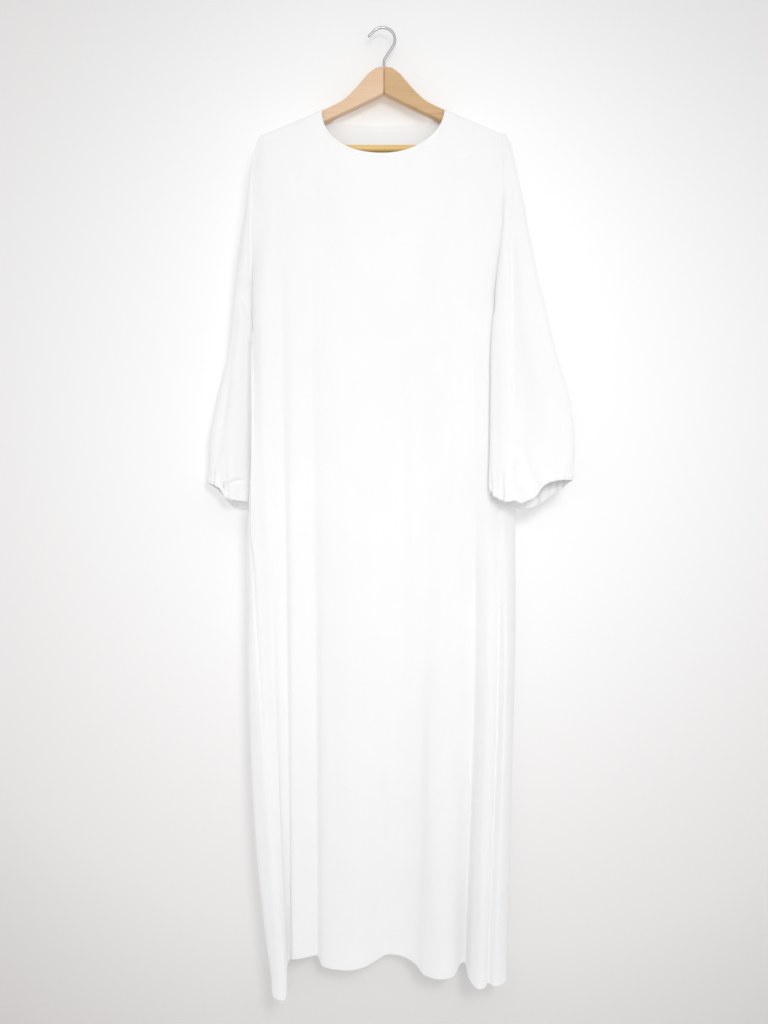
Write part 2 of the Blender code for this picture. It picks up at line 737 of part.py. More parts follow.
def build_hanger():
    """Two curved arms that meet in a mitre, the trouser bar between them and the hook on top."""
    stem_hole = cylinder_along(
        "stem hole",
        Vector((0, 0, -40)),
        Vector((0, 0, ARM_TOP[0].z - STEM_DEPTH)),
        HOOK_WIRE / 2 + REST_GAP,
        "bright steel",
    )
    bar_hole = cylinder_along(
        "bar hole",
        Vector((-BAR_REACH - REST_GAP, BAR_DEPTH, BAR_HEIGHT)),
        Vector((BAR_REACH + REST_GAP, BAR_DEPTH, BAR_HEIGHT)),
        BAR_DIAMETER / 2 + REST_GAP,
        "bright steel",
    )
    for side, name, wood in ((LEFT, "hanger_arm_left", "pale wood"), (RIGHT, "hanger_arm_right", "warm wood")):
        maker = bmesh.new()
        rings = []
        straight = ARM_REACH - 8.0
        stations = [(SEAM_GAP / 2 + straight * n / ARM_STEPS, 0.0) for n in range(ARM_STEPS + 1)]
        stations += [(ARM_REACH - 4.0, 1.2), (ARM_REACH - 1.2, 3.2), (ARM_REACH, 5.6)]
        for x, shrink in stations:
            rings.append([maker.verts.new(p * MM) for p in arm_ring(side * x, shrink)])
        for ring, after in zip(rings, rings[1:]):
            for n in range(ARM_SIDES):
                m = (n + 1) % ARM_SIDES
                maker.faces.new((ring[n], ring[m], after[m], after[n]))
        maker.faces.new(rings[0])
        maker.faces.new(rings[-1])
        bmesh.ops.recalc_face_normals(maker, faces=maker.faces)
        arm = object_of(name, maker, wood)
        cut(arm, stem_hole)
        cut(arm, bar_hole)
    cylinder_along(
        "hanger_bar",
        Vector((-BAR_REACH, BAR_DEPTH, BAR_HEIGHT)),
        Vector((BAR_REACH, BAR_DEPTH, BAR_HEIGHT)),
        BAR_DIAMETER / 2,
        "pale wood",
    )
    build_hook()


def build_hook():
    """The hook's wire: up from the wood, round its turn and over to the open tip."""
    centre_x, centre_z = HOOK_CENTRE
    foot = ARM_TOP[0].z - STEM_DEPTH + REST_GAP
    path = [Vector((0, 0, foot)), Vector((0, 0, -60)), Vector((0, 0, -52)), Vector((3.5, 0, -44))]
    steps = 14
    for n in range(steps + 1):
        angle = math.radians(HOOK_TURN_ANGLE + (HOOK_TIP_ANGLE - HOOK_TURN_ANGLE) * n / steps)
        path.append(
            Vector((centre_x + HOOK_RADIUS * math.cos(angle), 0, centre_z + HOOK_RADIUS * math.sin(angle)))
        )
    path.append(path[-1] + Vector((-5.0, 0, -3.0)))
    curve = bpy.data.curves.new("hanger_hook", "CURVE")
    curve.dimensions = "3D"
    curve.bevel_depth = HOOK_WIRE / 2 * MM
    curve.bevel_resolution = 2
    curve.use_fill_caps = True
    wire = curve.splines.new("POLY")
    wire.points.add(len(path) - 1)
    for point, place in zip(wire.points, path):
        point.co = (*(place * MM), 1.0)
    hook = bpy.data.objects.new("hanger_hook", curve)
    curve.materials.append(finish_of("bright steel"))
    bpy.context.scene.collection.objects.link(hook)


def main():
    """Build the garment and its hanger."""
    clear_scene()
    build_panels()
    build_sleeves()
    build_cuffs()
    build_hanger()


main()
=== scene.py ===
"""White abaya with full sleeves drawn in at the cuffs, hung on a wooden hanger with a steel hook.

The row frame: metres, +Z up, the front faces -Y, and the hook's seat is at the origin. The tables below are
in millimetres, and MM turns them into metres. The cloth follows named fold lines: each gives its place
across the garment and its depth at a few heights, and smooth curves join them.
"""

from __future__ import annotations

import logging
import math
from collections.abc import Callable
from dataclasses import dataclass, field
from enum import Enum

import bpy
import numpy as np
from mathutils import Matrix, Vector


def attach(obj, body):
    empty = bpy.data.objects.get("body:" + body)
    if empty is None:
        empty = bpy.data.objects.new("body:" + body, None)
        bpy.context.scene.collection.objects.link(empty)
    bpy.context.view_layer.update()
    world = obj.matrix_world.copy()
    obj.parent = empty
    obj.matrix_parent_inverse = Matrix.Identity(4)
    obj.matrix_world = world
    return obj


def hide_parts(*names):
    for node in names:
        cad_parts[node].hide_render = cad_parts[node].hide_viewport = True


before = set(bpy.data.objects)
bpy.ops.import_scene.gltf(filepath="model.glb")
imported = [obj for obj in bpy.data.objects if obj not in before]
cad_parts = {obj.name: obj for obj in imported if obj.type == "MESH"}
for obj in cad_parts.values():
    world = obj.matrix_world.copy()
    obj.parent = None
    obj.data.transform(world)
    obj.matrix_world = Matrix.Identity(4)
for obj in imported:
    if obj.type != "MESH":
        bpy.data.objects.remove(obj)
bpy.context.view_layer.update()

LOG = logging.getLogger("abaya")
Place = tuple[float, float, float]
Colour = tuple[float, float, float]
Line = Callable[[np.ndarray], np.ndarray]  # gives the places (x, y) of a line at some heights
MM = 0.001
TOUCH = 0.00001  # metres, for finding points by their place
WELD = 0.000001  # metres, for joining points that meet


# Names


class Side(Enum):
    """A side of the garment in the view from the front; the value is its direction along X."""

    LEFT = -1
    RIGHT = 1


class Face(Enum):
    """A face of the body."""

    FRONT = "front"
    BACK = "back"

    @property
    def other(self) -> Face:
        """The body's other face."""
        return Face.BACK if self is Face.FRONT else Face.FRONT

    @property
    def sides(self) -> tuple[Side, Side]:
        """The sides where the face's panel starts and ends, seen from outside it, from the left."""
        return (Side.LEFT, Side.RIGHT) if self is Face.FRONT else (Side.RIGHT, Side.LEFT)


# Curves


def smooth_through(stops: list[float], values: list[float], at: np.ndarray) -> np.ndarray:
    """Read a smooth curve through the values at the stops, which never swings past them.

    Args:
        stops: where the values stand, rising or falling.
        values: the curve's values at the stops.
        at: where to read the curve.

    Returns:
        The curve's values, in the shape of at.
    """
    x = np.asarray(stops, float)
    v = np.asarray(values, float)
    if x[0] > x[-1]:
        x = x[::-1]
        v = v[::-1]
    spans = np.diff(x)
    rises = np.diff(v) / spans
    slopes = np.concatenate([rises[:1], np.zeros(len(v) - 2), rises[-1:]])
    before, after = rises[:-1], rises[1:]
    alike = before * after > 0
    slopes[1:-1] = np.where(alike, 2 * before * after / np.where(alike, before + after, 1.0), 0.0)
    at = np.clip(at, x[0], x[-1])
    i = np.clip(np.searchsorted(x, at, side="right") - 1, 0, len(spans) - 1)
    t = (at - x[i]) / spans[i]
    start = (1 + 2 * t) * (1 - t) ** 2 * v[i] + t * (1 - t) ** 2 * spans[i] * slopes[i]
    end = t * t * (3 - 2 * t) * v[i + 1] + t * t * (t - 1) * spans[i] * slopes[i + 1]
    return start + end


def read_rows(rows: tuple, key: str, column: str, at: np.ndarray) -> np.ndarray:
    """Read one column of a table of rows as a smooth curve over its key column.

    Args:
        rows: the table.
        key: name of the column that gives the stops.
        column: name of the column to read.
        at: where to read it.

    Returns:
        The values, in the shape of at.
    """
    return smooth_through([getattr(r, key) for r in rows], [getattr(r, column) for r in rows], at)


def bend(
    before: np.ndarray, start: np.ndarray, end: np.ndarray, after: np.ndarray, share: float
) -> np.ndarray:
    """Go a share of the way from start to end on a rounded curve through all four points.

    Args:
        before: points ahead of start, one a row.
        start: points where the share is 0.
        end: points where the share is 1.
        after: points past end.
        share: from 0 to 1.

    Returns:
        The points on the curve, one a row.
    """
    steps = [np.maximum(np.linalg.norm(b - a, axis=-1), 1e-6) ** 0.5 for a, b in
             ((before, start), (start, end), (end, after))]
    k0 = np.zeros_like(steps[0])
    k1 = k0 + steps[0]
    k2 = k1 + steps[1]
    k3 = k2 + steps[2]
    at = k1 + (k2 - k1) * share

    def mix(p: np.ndarray, q: np.ndarray, low: np.ndarray, high: np.ndarray) -> np.ndarray:
        """Mix two columns of points by where the place lies between low and high."""
        return p + (q - p) * ((at - low) / (high - low))[:, None]

    a = mix(before, start, k0, k1)
    b = mix(start, end, k1, k2)
    c = mix(end, after, k2, k3)
    return mix(mix(a, b, k0, k2), mix(b, c, k1, k3), k1, k2)


def soft_step(t: np.ndarray) -> np.ndarray:
    """Rise smoothly from 0 at t = 0 to 1 at t = 1."""
    t = np.clip(t, 0.0, 1.0)
    return t * t * (3 - 2 * t)


def signed_power(value: np.ndarray, power: float) -> np.ndarray:
    """Raise a value's size to a power and keep its sign."""
    return np.sign(value) * np.abs(value) ** power


def arc_places(points: np.ndarray, axis: int) -> np.ndarray:
    """Distance along a grid of points from its first row or column.

    Args:
        points: a grid of points, rows by columns by 3.
        axis: 0 to go down the rows, 1 to go along the columns.

    Returns:
        The distance at each point of the grid.
    """
    steps = np.linalg.norm(np.diff(points, axis=axis), axis=-1)
    start = np.zeros_like(np.take(steps, [0], axis=axis))
    return np.concatenate([start, np.cumsum(steps, axis=axis)], axis=axis)


def grid_normals(points: np.ndarray, closed: bool) -> np.ndarray:
    """Unit normals of a grid of points.

    Args:
        points: a grid of points, rows by columns by 3.
        closed: whether its first and last column are one.

    Returns:
        The normals, which point to the right-hand side of down crossed with along.
    """
    down = np.gradient(points, axis=0)
    if closed:
        wide = np.concatenate([points[:, -2:-1], points, points[:, 1:2]], axis=1)
        along = (wide[:, 2:] - wide[:, :-2]) / 2
    else:
        along = np.gradient(points, axis=1)
    normal = np.cross(down, along)
    return normal / np.maximum(np.linalg.norm(normal, axis=-1, keepdims=True), 1e-12)


# Finishes


class Shader:
    """A material's node tree, with short ways to add nodes and links."""

    def __init__(self, name: str) -> None:
        """Start a material with a plain Principled shader.

        Args:
            name: the material's name.
        """
        self.material = bpy.data.materials.new(name)
        self.material.use_nodes = True
        self.tree = self.material.node_tree
        self.surface = self.tree.nodes["Principled BSDF"]

    def node(self, kind: str, **settings: object) -> bpy.types.Node:
        """Add a node.

        Args:
            kind: the node's type.
            settings: its properties by name.

        Returns:
            The new node.
        """
        made = self.tree.nodes.new(kind)
        for name, value in settings.items():
            setattr(made, name, value)
        return made

    def link(self, start: bpy.types.NodeSocket, end: bpy.types.NodeSocket) -> None:
        """Join two sockets."""
        self.tree.links.new(start, end)

    def fill(self, node: bpy.types.Node, values: dict[str, object]) -> bpy.types.Node:
        """Set inputs of a node by their names.

        Args:
            node: the node.
            values: each input's value.

        Returns:
            The same node.
        """
        for name, value in values.items():
            node.inputs[name].default_value = value
        return node

    def drive(self, name: str, value: bpy.types.NodeSocket) -> None:
        """Lead a value to one of the surface's inputs."""
        self.link(value, self.surface.inputs[name])

    def vary_gloss(self, value: bpy.types.NodeSocket, low: float, high: float) -> None:
        """Vary the surface's roughness.

        Args:
            value: from 0 to 1.
            low: the roughness at 0.
            high: the roughness at 1.
        """
        gloss = self.fill(self.node("ShaderNodeMapRange"), {"To Min": low, "To Max": high})
        self.link(value, gloss.inputs["Value"])
        self.drive("Roughness", gloss.outputs["Result"])

    def noise(self, place: bpy.types.NodeSocket, scale: float, detail: float = 3.0) -> bpy.types.Node:
        """Add a noise texture.

        Args:
            place: the coordinates that it reads.
            scale: features per metre.
            detail: how many finer layers it has.

        Returns:
            The noise node.
        """
        made = self.fill(self.node("ShaderNodeTexNoise"), {"Scale": scale, "Detail": detail})
        self.link(place, made.inputs["Vector"])
        return made

    def bump(self, height: bpy.types.NodeSocket, distance: float, strength: float,
             under: bpy.types.NodeSocket | None = None) -> bpy.types.NodeSocket:
        """Add a bump layer.

        Args:
            height: the relief, from 0 to 1.
            distance: how high 1 stands, in metres.
            strength: from 0 to 1.
            under: the normal that this layer lies on.

        Returns:
            The new normal.
        """
        made = self.fill(self.node("ShaderNodeBump"), {"Distance": distance, "Strength": strength})
        self.link(height, made.inputs["Height"])
        if under:
            self.link(under, made.inputs["Normal"])
        return made.outputs["Normal"]

    def ramp(self, value: bpy.types.NodeSocket, stops: tuple) -> bpy.types.NodeSocket:
        """Turn a value into a colour.

        Args:
            value: from 0 to 1.
            stops: pairs of a value and its colour.

        Returns:
            The colour's socket.
        """
        made = self.node("ShaderNodeValToRGB")
        slots = made.color_ramp.elements
        while len(slots) < len(stops):
            slots.new(0.5)
        for slot, (place, colour) in zip(slots, stops):
            slot.position = place
            slot.color = (*colour, 1.0)
        self.link(value, made.inputs["Fac"])
        return made.outputs["Color"]


@dataclass(frozen=True)
class ClothFinish:
    """Matt crepe: a fine plain weave with a pebbled face, read from the cloth's own map in metres."""

    name: str = "white crepe"
    colour: Colour = (0.912, 0.911, 0.91)
    shade: Colour = (0.9, 0.899, 0.898)
    roughness: float = 0.82
    sheen: float = 0.12
    sheen_roughness: float = 0.6
    shine: float = 0.25
    clouds: float = 9.0  # slow changes of tone to a metre
    cloud_ends: tuple[float, float] = (0.35, 0.65)  # the noise's values at the shade and at the colour
    threads: float = 2200.0  # to a metre
    thread_height: float = 0.00006
    thread_strength: float = 0.4
    thread_wobble: float = 0.6
    pebbles: float = 700.0  # to a metre
    pebble_height: float = 0.00012
    pebble_strength: float = 0.5
    glow: float = 0.15  # share of the light that passes into the thin cloth
    glow_reach: float = 0.004

    def make(self) -> bpy.types.Material:
        """Build the material.

        Returns:
            The material.
        """
        shader = Shader(self.name)
        shader.fill(shader.surface, {
            "Roughness": self.roughness,
            "Sheen Weight": self.sheen,
            "Sheen Roughness": self.sheen_roughness,
            "Specular IOR Level": self.shine,
            "Subsurface Weight": self.glow,
            "Subsurface Radius": (1.0, 1.0, 1.0),
            "Subsurface Scale": self.glow_reach,
        })
        place = shader.node("ShaderNodeUVMap", uv_map="cloth").outputs["UV"]
        cloudy = shader.noise(place, self.clouds, 2.0)
        tones = tuple(zip(self.cloud_ends, (self.shade, self.colour)))
        shader.drive("Base Color", shader.ramp(cloudy.outputs["Fac"], tones))
        pebble = shader.noise(place, self.pebbles, 2.0)
        normal = shader.bump(pebble.outputs["Fac"], self.pebble_height, self.pebble_strength)
        for direction in ("X", "Y"):
            thread = shader.node("ShaderNodeTexWave", bands_direction=direction)
            shader.fill(thread, {"Scale": self.threads / (2 * math.pi), "Distortion": self.thread_wobble})
            shader.link(place, thread.inputs["Vector"])
            normal = shader.bump(thread.outputs["Fac"], self.thread_height, self.thread_strength, normal)
        shader.drive("Normal", normal)
        return shader.material


@dataclass(frozen=True)
class WoodFinish:
    """Lacquered hanger wood with its grain along one direction of the object's space."""

    name: str
    light: Colour
    middle: Colour
    dark: Colour
    slope: float  # the grain's fall along X, as an angle in radians
    roughness: float = 0.42
    worn: tuple[float, float] = (-0.06, 0.1)  # what the fibres take from the roughness and add to it
    lacquer: float = 0.25
    lacquer_roughness: float = 0.25
    stretch: Place = (1.0, 9.0, 14.0)  # how much finer the grain is along each axis
    figures: float = 11.0  # to a metre along the grain
    figure_wobble: float = 0.8
    fibres: float = 90.0  # to a metre along the grain
    fibre_share: float = 0.35
    fibre_height: float = 0.0001
    fibre_strength: float = 0.35
    tone_places: tuple[float, float, float] = (0.24, 0.5, 0.76)  # the grain's dark, middle and light

    def make(self) -> bpy.types.Material:
        """Build the material.

        Returns:
            The material.
        """
        shader = Shader(self.name)
        coat = {"Coat Weight": self.lacquer, "Coat Roughness": self.lacquer_roughness}
        shader.fill(shader.surface, coat)
        turned = shader.node("ShaderNodeMapping")
        shader.fill(turned, {"Rotation": (0.0, self.slope, 0.0), "Scale": self.stretch})
        shader.link(shader.node("ShaderNodeTexCoord").outputs["Object"], turned.inputs["Vector"])
        along = turned.outputs["Vector"]
        figure = shader.fill(shader.noise(along, self.figures, 4.0), {"Distortion": self.figure_wobble})
        fibre = shader.noise(along, self.fibres).outputs["Fac"]
        blend = shader.fill(shader.node("ShaderNodeMix", data_type="FLOAT"), {"Factor": self.fibre_share})
        shader.link(figure.outputs["Fac"], blend.inputs["A"])
        shader.link(fibre, blend.inputs["B"])
        tones = tuple(zip(self.tone_places, (self.dark, self.middle, self.light)))
        shader.drive("Base Color", shader.ramp(blend.outputs["Result"], tones))
        shader.vary_gloss(fibre, self.roughness + self.worn[0], self.roughness + self.worn[1])
        shader.drive("Normal", shader.bump(fibre, self.fibre_height, self.fibre_strength))
        return shader.material


@dataclass(frozen=True)
class SteelFinish:
    """Bright plated wire with faint rubbing marks, and a painted dark reflection where it turns away from
    the view.
    """

    name: str = "bright steel"
    colour: Colour = (0.78, 0.78, 0.80)
    # edge: a painted dark reflection, which the colour turns to where the wire turns away from the view
    edge: Colour = (0.05, 0.05, 0.055)
    dark_reflection_ends: tuple[float, float] = (0.08, 0.6)  # how far the wire turns away at the colour and the edge
    roughness: float = 0.16
    worn: tuple[float, float] = (-0.05, 0.14)  # what the marks take from the roughness and add to it
    marks: float = 260.0  # to a metre
    mark_depth: float = 0.00003
    mark_strength: float = 0.3

    def make(self) -> bpy.types.Material:
        """Build the material.

        Returns:
            The material.
        """
        shader = Shader(self.name)
        shader.fill(shader.surface, {"Metallic": 1.0})
        # Painted dark reflection: the colour darkens as the wire turns away from the view.
        turn = shader.fill(shader.node("ShaderNodeLayerWeight"), {"Blend": 0.5})
        tones = tuple(zip(self.dark_reflection_ends, (self.colour, self.edge)))
        shader.drive("Base Color", shader.ramp(turn.outputs["Facing"], tones))
        place = shader.node("ShaderNodeTexCoord").outputs["Object"]
        rubbed = shader.noise(place, self.marks, 4.0).outputs["Fac"]
        shader.vary_gloss(rubbed, self.roughness + self.worn[0], self.roughness + self.worn[1])
        shader.drive("Normal", shader.bump(rubbed, self.mark_depth, self.mark_strength))
        return shader.material


@dataclass(frozen=True)
class StudioFinish:
    """Matt paint for the studio's floor and backdrop, with painted shade that darkens it softly away from
    its middle.
    """

    name: str
    middle: Colour
    # rim: the painted shade at the edges, where the light falls off
    rim: Colour
    centre: Place = (0.0, 0.0, 0.0)
    reach: float = 3.0  # metres from the centre to the rim's colour
    roughness: float = 0.9
    shine: float = 0.1
    one_sided: bool = False  # whether it is clear from behind

    def make(self) -> bpy.types.Material:
        """Build the material.

        Returns:
            The material.
        """
        shader = Shader(self.name)
        shader.fill(shader.surface, {"Roughness": self.roughness, "Specular IOR Level": self.shine})
        place = shader.fill(shader.node("ShaderNodeMapping"), {
            "Location": tuple(-v / self.reach for v in self.centre), "Scale": (1 / self.reach,) * 3,
        })
        shader.link(shader.node("ShaderNodeTexCoord").outputs["Object"], place.inputs["Vector"])
        # Painted shade: the colour darkens from the middle out to the rim.
        painted_falloff = shader.node("ShaderNodeTexGradient", gradient_type="SPHERICAL")
        shader.link(place.outputs["Vector"], painted_falloff.inputs["Vector"])
        half = tuple((a + 2 * b) / 3 for a, b in zip(self.rim, self.middle))
        tones = ((0.0, self.rim), (0.4, half), (0.9, self.middle))
        shader.drive("Base Color", shader.ramp(painted_falloff.outputs["Color"], tones))
        if self.one_sided:
            clear = shader.node("ShaderNodeBsdfTransparent")
            pick = shader.node("ShaderNodeMixShader")
            behind = shader.node("ShaderNodeNewGeometry").outputs["Backfacing"]
            shader.link(behind, pick.inputs["Fac"])
            shader.link(shader.surface.outputs["BSDF"], pick.inputs[1])
            shader.link(clear.outputs["BSDF"], pick.inputs[2])
            shader.link(pick.outputs["Shader"], shader.tree.nodes["Material Output"].inputs["Surface"])
        return shader.material


CREPE = ClothFinish()
STEEL = SteelFinish()
# The two arms' woods are lit and shaded copies of one wood. The left arm's is paler, with painted light,
# and the right arm's is darker, with painted shade, because the arms turn towards and away from the light.
LIT_ARM_WOOD = WoodFinish("pale wood", (0.80, 0.58, 0.40), (0.75, 0.52, 0.34), (0.67, 0.43, 0.26), slope=0.48)
SHADED_ARM_WOOD = WoodFinish("warm wood", (0.68, 0.46, 0.25), (0.62, 0.40, 0.20), (0.53, 0.31, 0.14), slope=-0.48)
BAR_WOOD = WoodFinish("bar wood", (0.82, 0.58, 0.22), (0.76, 0.51, 0.17), (0.66, 0.41, 0.12), slope=0.0)
# The backdrop's far darker rim is painted shade: a painted falloff of the light into its corners.
FLOOR_PAINT = StudioFinish("pale floor", (0.80, 0.80, 0.80), (0.74, 0.74, 0.74))
BACKDROP_PAINT = StudioFinish(
    "pale backdrop", (0.96, 0.96, 0.96), (0.52, 0.485, 0.46), (0.1, 0.0, -0.42), 1.85, one_sided=True
)


# Cloth pieces


@dataclass(frozen=True)
class Crease:
    """A soft trough or ridge in a panel, drawn in the view from the front, in millimetres."""

    x_top: float
    z_top: float
    x_low: float
    z_low: float
    depth: float  # outwards; a trough is negative
    width: float
    bow: float = 0.0  # how far its middle stands right of a straight line, or above one that runs level

    def lift(self, x: np.ndarray, z: np.ndarray) -> np.ndarray:
        """Height of the crease above the plain cloth.

        Args:
            x: places across the garment, in millimetres.
            z: heights, in millimetres.

        Returns:
            The height at each place, in millimetres.
        """
        run = np.array([self.x_low - self.x_top, self.z_low - self.z_top])
        length = float(np.linalg.norm(run))
        way = run / length
        t = ((x - self.x_top) * way[0] + (z - self.z_top) * way[1]) / length
        off = (x - self.x_top) * -way[1] + (z - self.z_top) * way[0]
        off = off - self.bow * 4 * t * (1 - t)
        ends = soft_step(t * 4) * soft_step((1 - t) * 4)
        return self.depth * np.exp(-((off / self.width) ** 2)) * ends


class ClothSheet:
    """A thin sheet of cloth built from a grid of points in millimetres."""

    SMOOTH_UNDER = 60.0  # degrees between faces that are shaded as one

    def __init__(self, name: str, points: np.ndarray, closed: bool = False, first_ring: int = 0) -> None:
        """Hold the grid.

        Args:
            name: the piece's name.
            points: rows from the top down, by columns, by 3.
            closed: whether it is a tube, its first and last column one.
            first_ring: the first row that is a whole ring, where closed.
        """
        self.name = name
        self.points = points
        self.closed = closed
        self.first_ring = first_ring

    def build(self, material: bpy.types.Material, wall: float) -> bpy.types.Object:
        """Make the sheet's mesh, with its map of the flat cloth and its thickness.

        Args:
            material: the cloth's material.
            wall: the sheet's thickness in millimetres.

        Returns:
            The finished piece.
        """
        rows, columns = self.points.shape[:2]
        index = np.arange(rows * columns).reshape(rows, columns)
        if self.closed:
            index[self.first_ring:, -1] = index[self.first_ring:, 0]
        corners = np.stack([index[:-1, :-1], index[1:, :-1], index[1:, 1:], index[:-1, 1:]], axis=-1)
        mesh = bpy.data.meshes.new(self.name)
        mesh.from_pydata((self.points.reshape(-1, 3) * MM).tolist(), [], corners.reshape(-1, 4).tolist())
        self.map_flat(mesh)
        piece = bpy.data.objects.new(self.name, mesh)
        bpy.context.scene.collection.objects.link(piece)
        piece.data.materials.append(material)
        Workbench.pick(piece)
        bpy.ops.object.mode_set(mode="EDIT")
        bpy.ops.mesh.select_all(action="SELECT")
        bpy.ops.mesh.delete_loose()
        bpy.ops.object.mode_set(mode="OBJECT")
        thick = piece.modifiers.new("thickness", "SOLIDIFY")
        thick.thickness = wall * MM
        thick.offset = 0.0
        bpy.ops.object.modifier_apply(modifier=thick.name)
        bpy.ops.object.shade_smooth_by_angle(angle=math.radians(self.SMOOTH_UNDER))
        return piece

    def hang(self, material: bpy.types.Material, wall: float, node: str, rests_on: list[str]) -> None:
        """Build the sheet in the place of a CAD node.

        Args:
            material: the cloth's material.
            wall: the sheet's thickness in millimetres.
            node: the node's name.
            rests_on: names of the pieces that it hangs on; not used.
        """
        piece = self.build(material, wall)
        Workbench.stand_for(piece, node, "white_cloth")

    def map_flat(self, mesh: bpy.types.Mesh) -> None:
        """Give the mesh a map whose coordinates are metres on the flat cloth.

        Args:
            mesh: the sheet's mesh, before it has its thickness.
        """
        across = arc_places(self.points, 1).mean(axis=0) * MM
        down = arc_places(self.points, 0) * MM
        rows, columns = self.points.shape[:2]
        u = np.broadcast_to(across, (rows, columns))
        flat = np.stack([u, down], axis=-1)
        corners = np.stack([flat[:-1, :-1], flat[1:, :-1], flat[1:, 1:], flat[:-1, 1:]], axis=2)
        layer = mesh.uv_layers.new(name="cloth")
        layer.data.foreach_set("uv", corners.reshape(-1).astype(np.float32))


class Workbench:
    """Small steps of modelling by hand."""

    SMOOTH_UNDER = 35.0  # degrees between faces that are shaded as one

    @staticmethod
    def pick(piece: bpy.types.Object) -> None:
        """Select one object alone and make it active.

        Args:
            piece: the object.
        """
        bpy.ops.object.select_all(action="DESELECT")
        piece.select_set(True)
        bpy.context.view_layer.objects.active = piece

    @staticmethod
    def edit(piece: bpy.types.Object) -> None:
        """Open a piece in edit mode, by its points, with nothing selected.

        Args:
            piece: the object.
        """
        Workbench.pick(piece)
        bpy.ops.object.mode_set(mode="EDIT")
        bpy.ops.mesh.select_mode(type="VERT")
        bpy.ops.mesh.select_all(action="DESELECT")

    @staticmethod
    def select_points(piece: bpy.types.Object, test: Callable[[Vector], bool]) -> None:
        """Select, in edit mode, the points that pass a test of their place.

        Args:
            piece: the object in edit mode.
            test: a function of a point's place.
        """
        bpy.ops.mesh.select_all(action="DESELECT")
        bpy.ops.object.mode_set(mode="OBJECT")
        piece.data.vertices.foreach_set("select", [test(v.co) for v in piece.data.vertices])
        bpy.ops.object.mode_set(mode="EDIT")

    @staticmethod
    def round_edges(piece: bpy.types.Object, width: float, segments: int, angle: float) -> None:
        """Add a bevel to a piece's sharp edges.

        Args:
            piece: the object.
            width: the bevel's width in millimetres.
            segments: how many faces it has across.
            angle: the least angle of an edge that it rounds, in degrees.
        """
        rounding = piece.modifiers.new("rounded edges", "BEVEL")
        rounding.width = width * MM
        rounding.segments = segments
        rounding.limit_method = "ANGLE"
        rounding.angle_limit = math.radians(angle)

    @staticmethod
    def finish(piece: bpy.types.Object, material: bpy.types.Material, name: str) -> bpy.types.Object:
        """Apply the piece's modifiers and place, name it and give it its material.

        Args:
            piece: the object.
            material: its material.
            name: its name.

        Returns:
            The same object.
        """
        if bpy.context.mode != "OBJECT":
            bpy.ops.object.mode_set(mode="OBJECT")
        Workbench.pick(piece)
        for modifier in list(piece.modifiers):
            bpy.ops.object.modifier_apply(modifier=modifier.name)
        bpy.ops.object.transform_apply(location=True, rotation=True, scale=True)
        piece.name = name
        piece.data.name = name
        piece.data.materials.clear()
        piece.data.materials.append(material)
        bpy.ops.object.shade_smooth_by_angle(angle=math.radians(Workbench.SMOOTH_UNDER))
        return piece

    @staticmethod
    def stand_for(piece: bpy.types.Object, node: str, slot: str) -> None:
        """Set a piece on the root body in the place of a CAD node.

        Args:
            piece: the object.
            node: the node's name.
            slot: the piece's material slot; not used.
        """
        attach(piece, "root")
        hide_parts(node)
        LOG.info("%s stands for %s", piece.name, node)


# The hanger


@dataclass(frozen=True)
class Outline:
    """A point of the hanger arm's outline, in millimetres."""

    x: float
    z: float


@dataclass(frozen=True)
class WireMove:
    """A step along the hook's wire: a straight, or a turn to the right, or to the left if below 0."""

    length: float  # of a straight, or the radius of a turn, in millimetres
    turn: float = 0.0  # in degrees
    steps: int = 0  # mesh rings of a turn


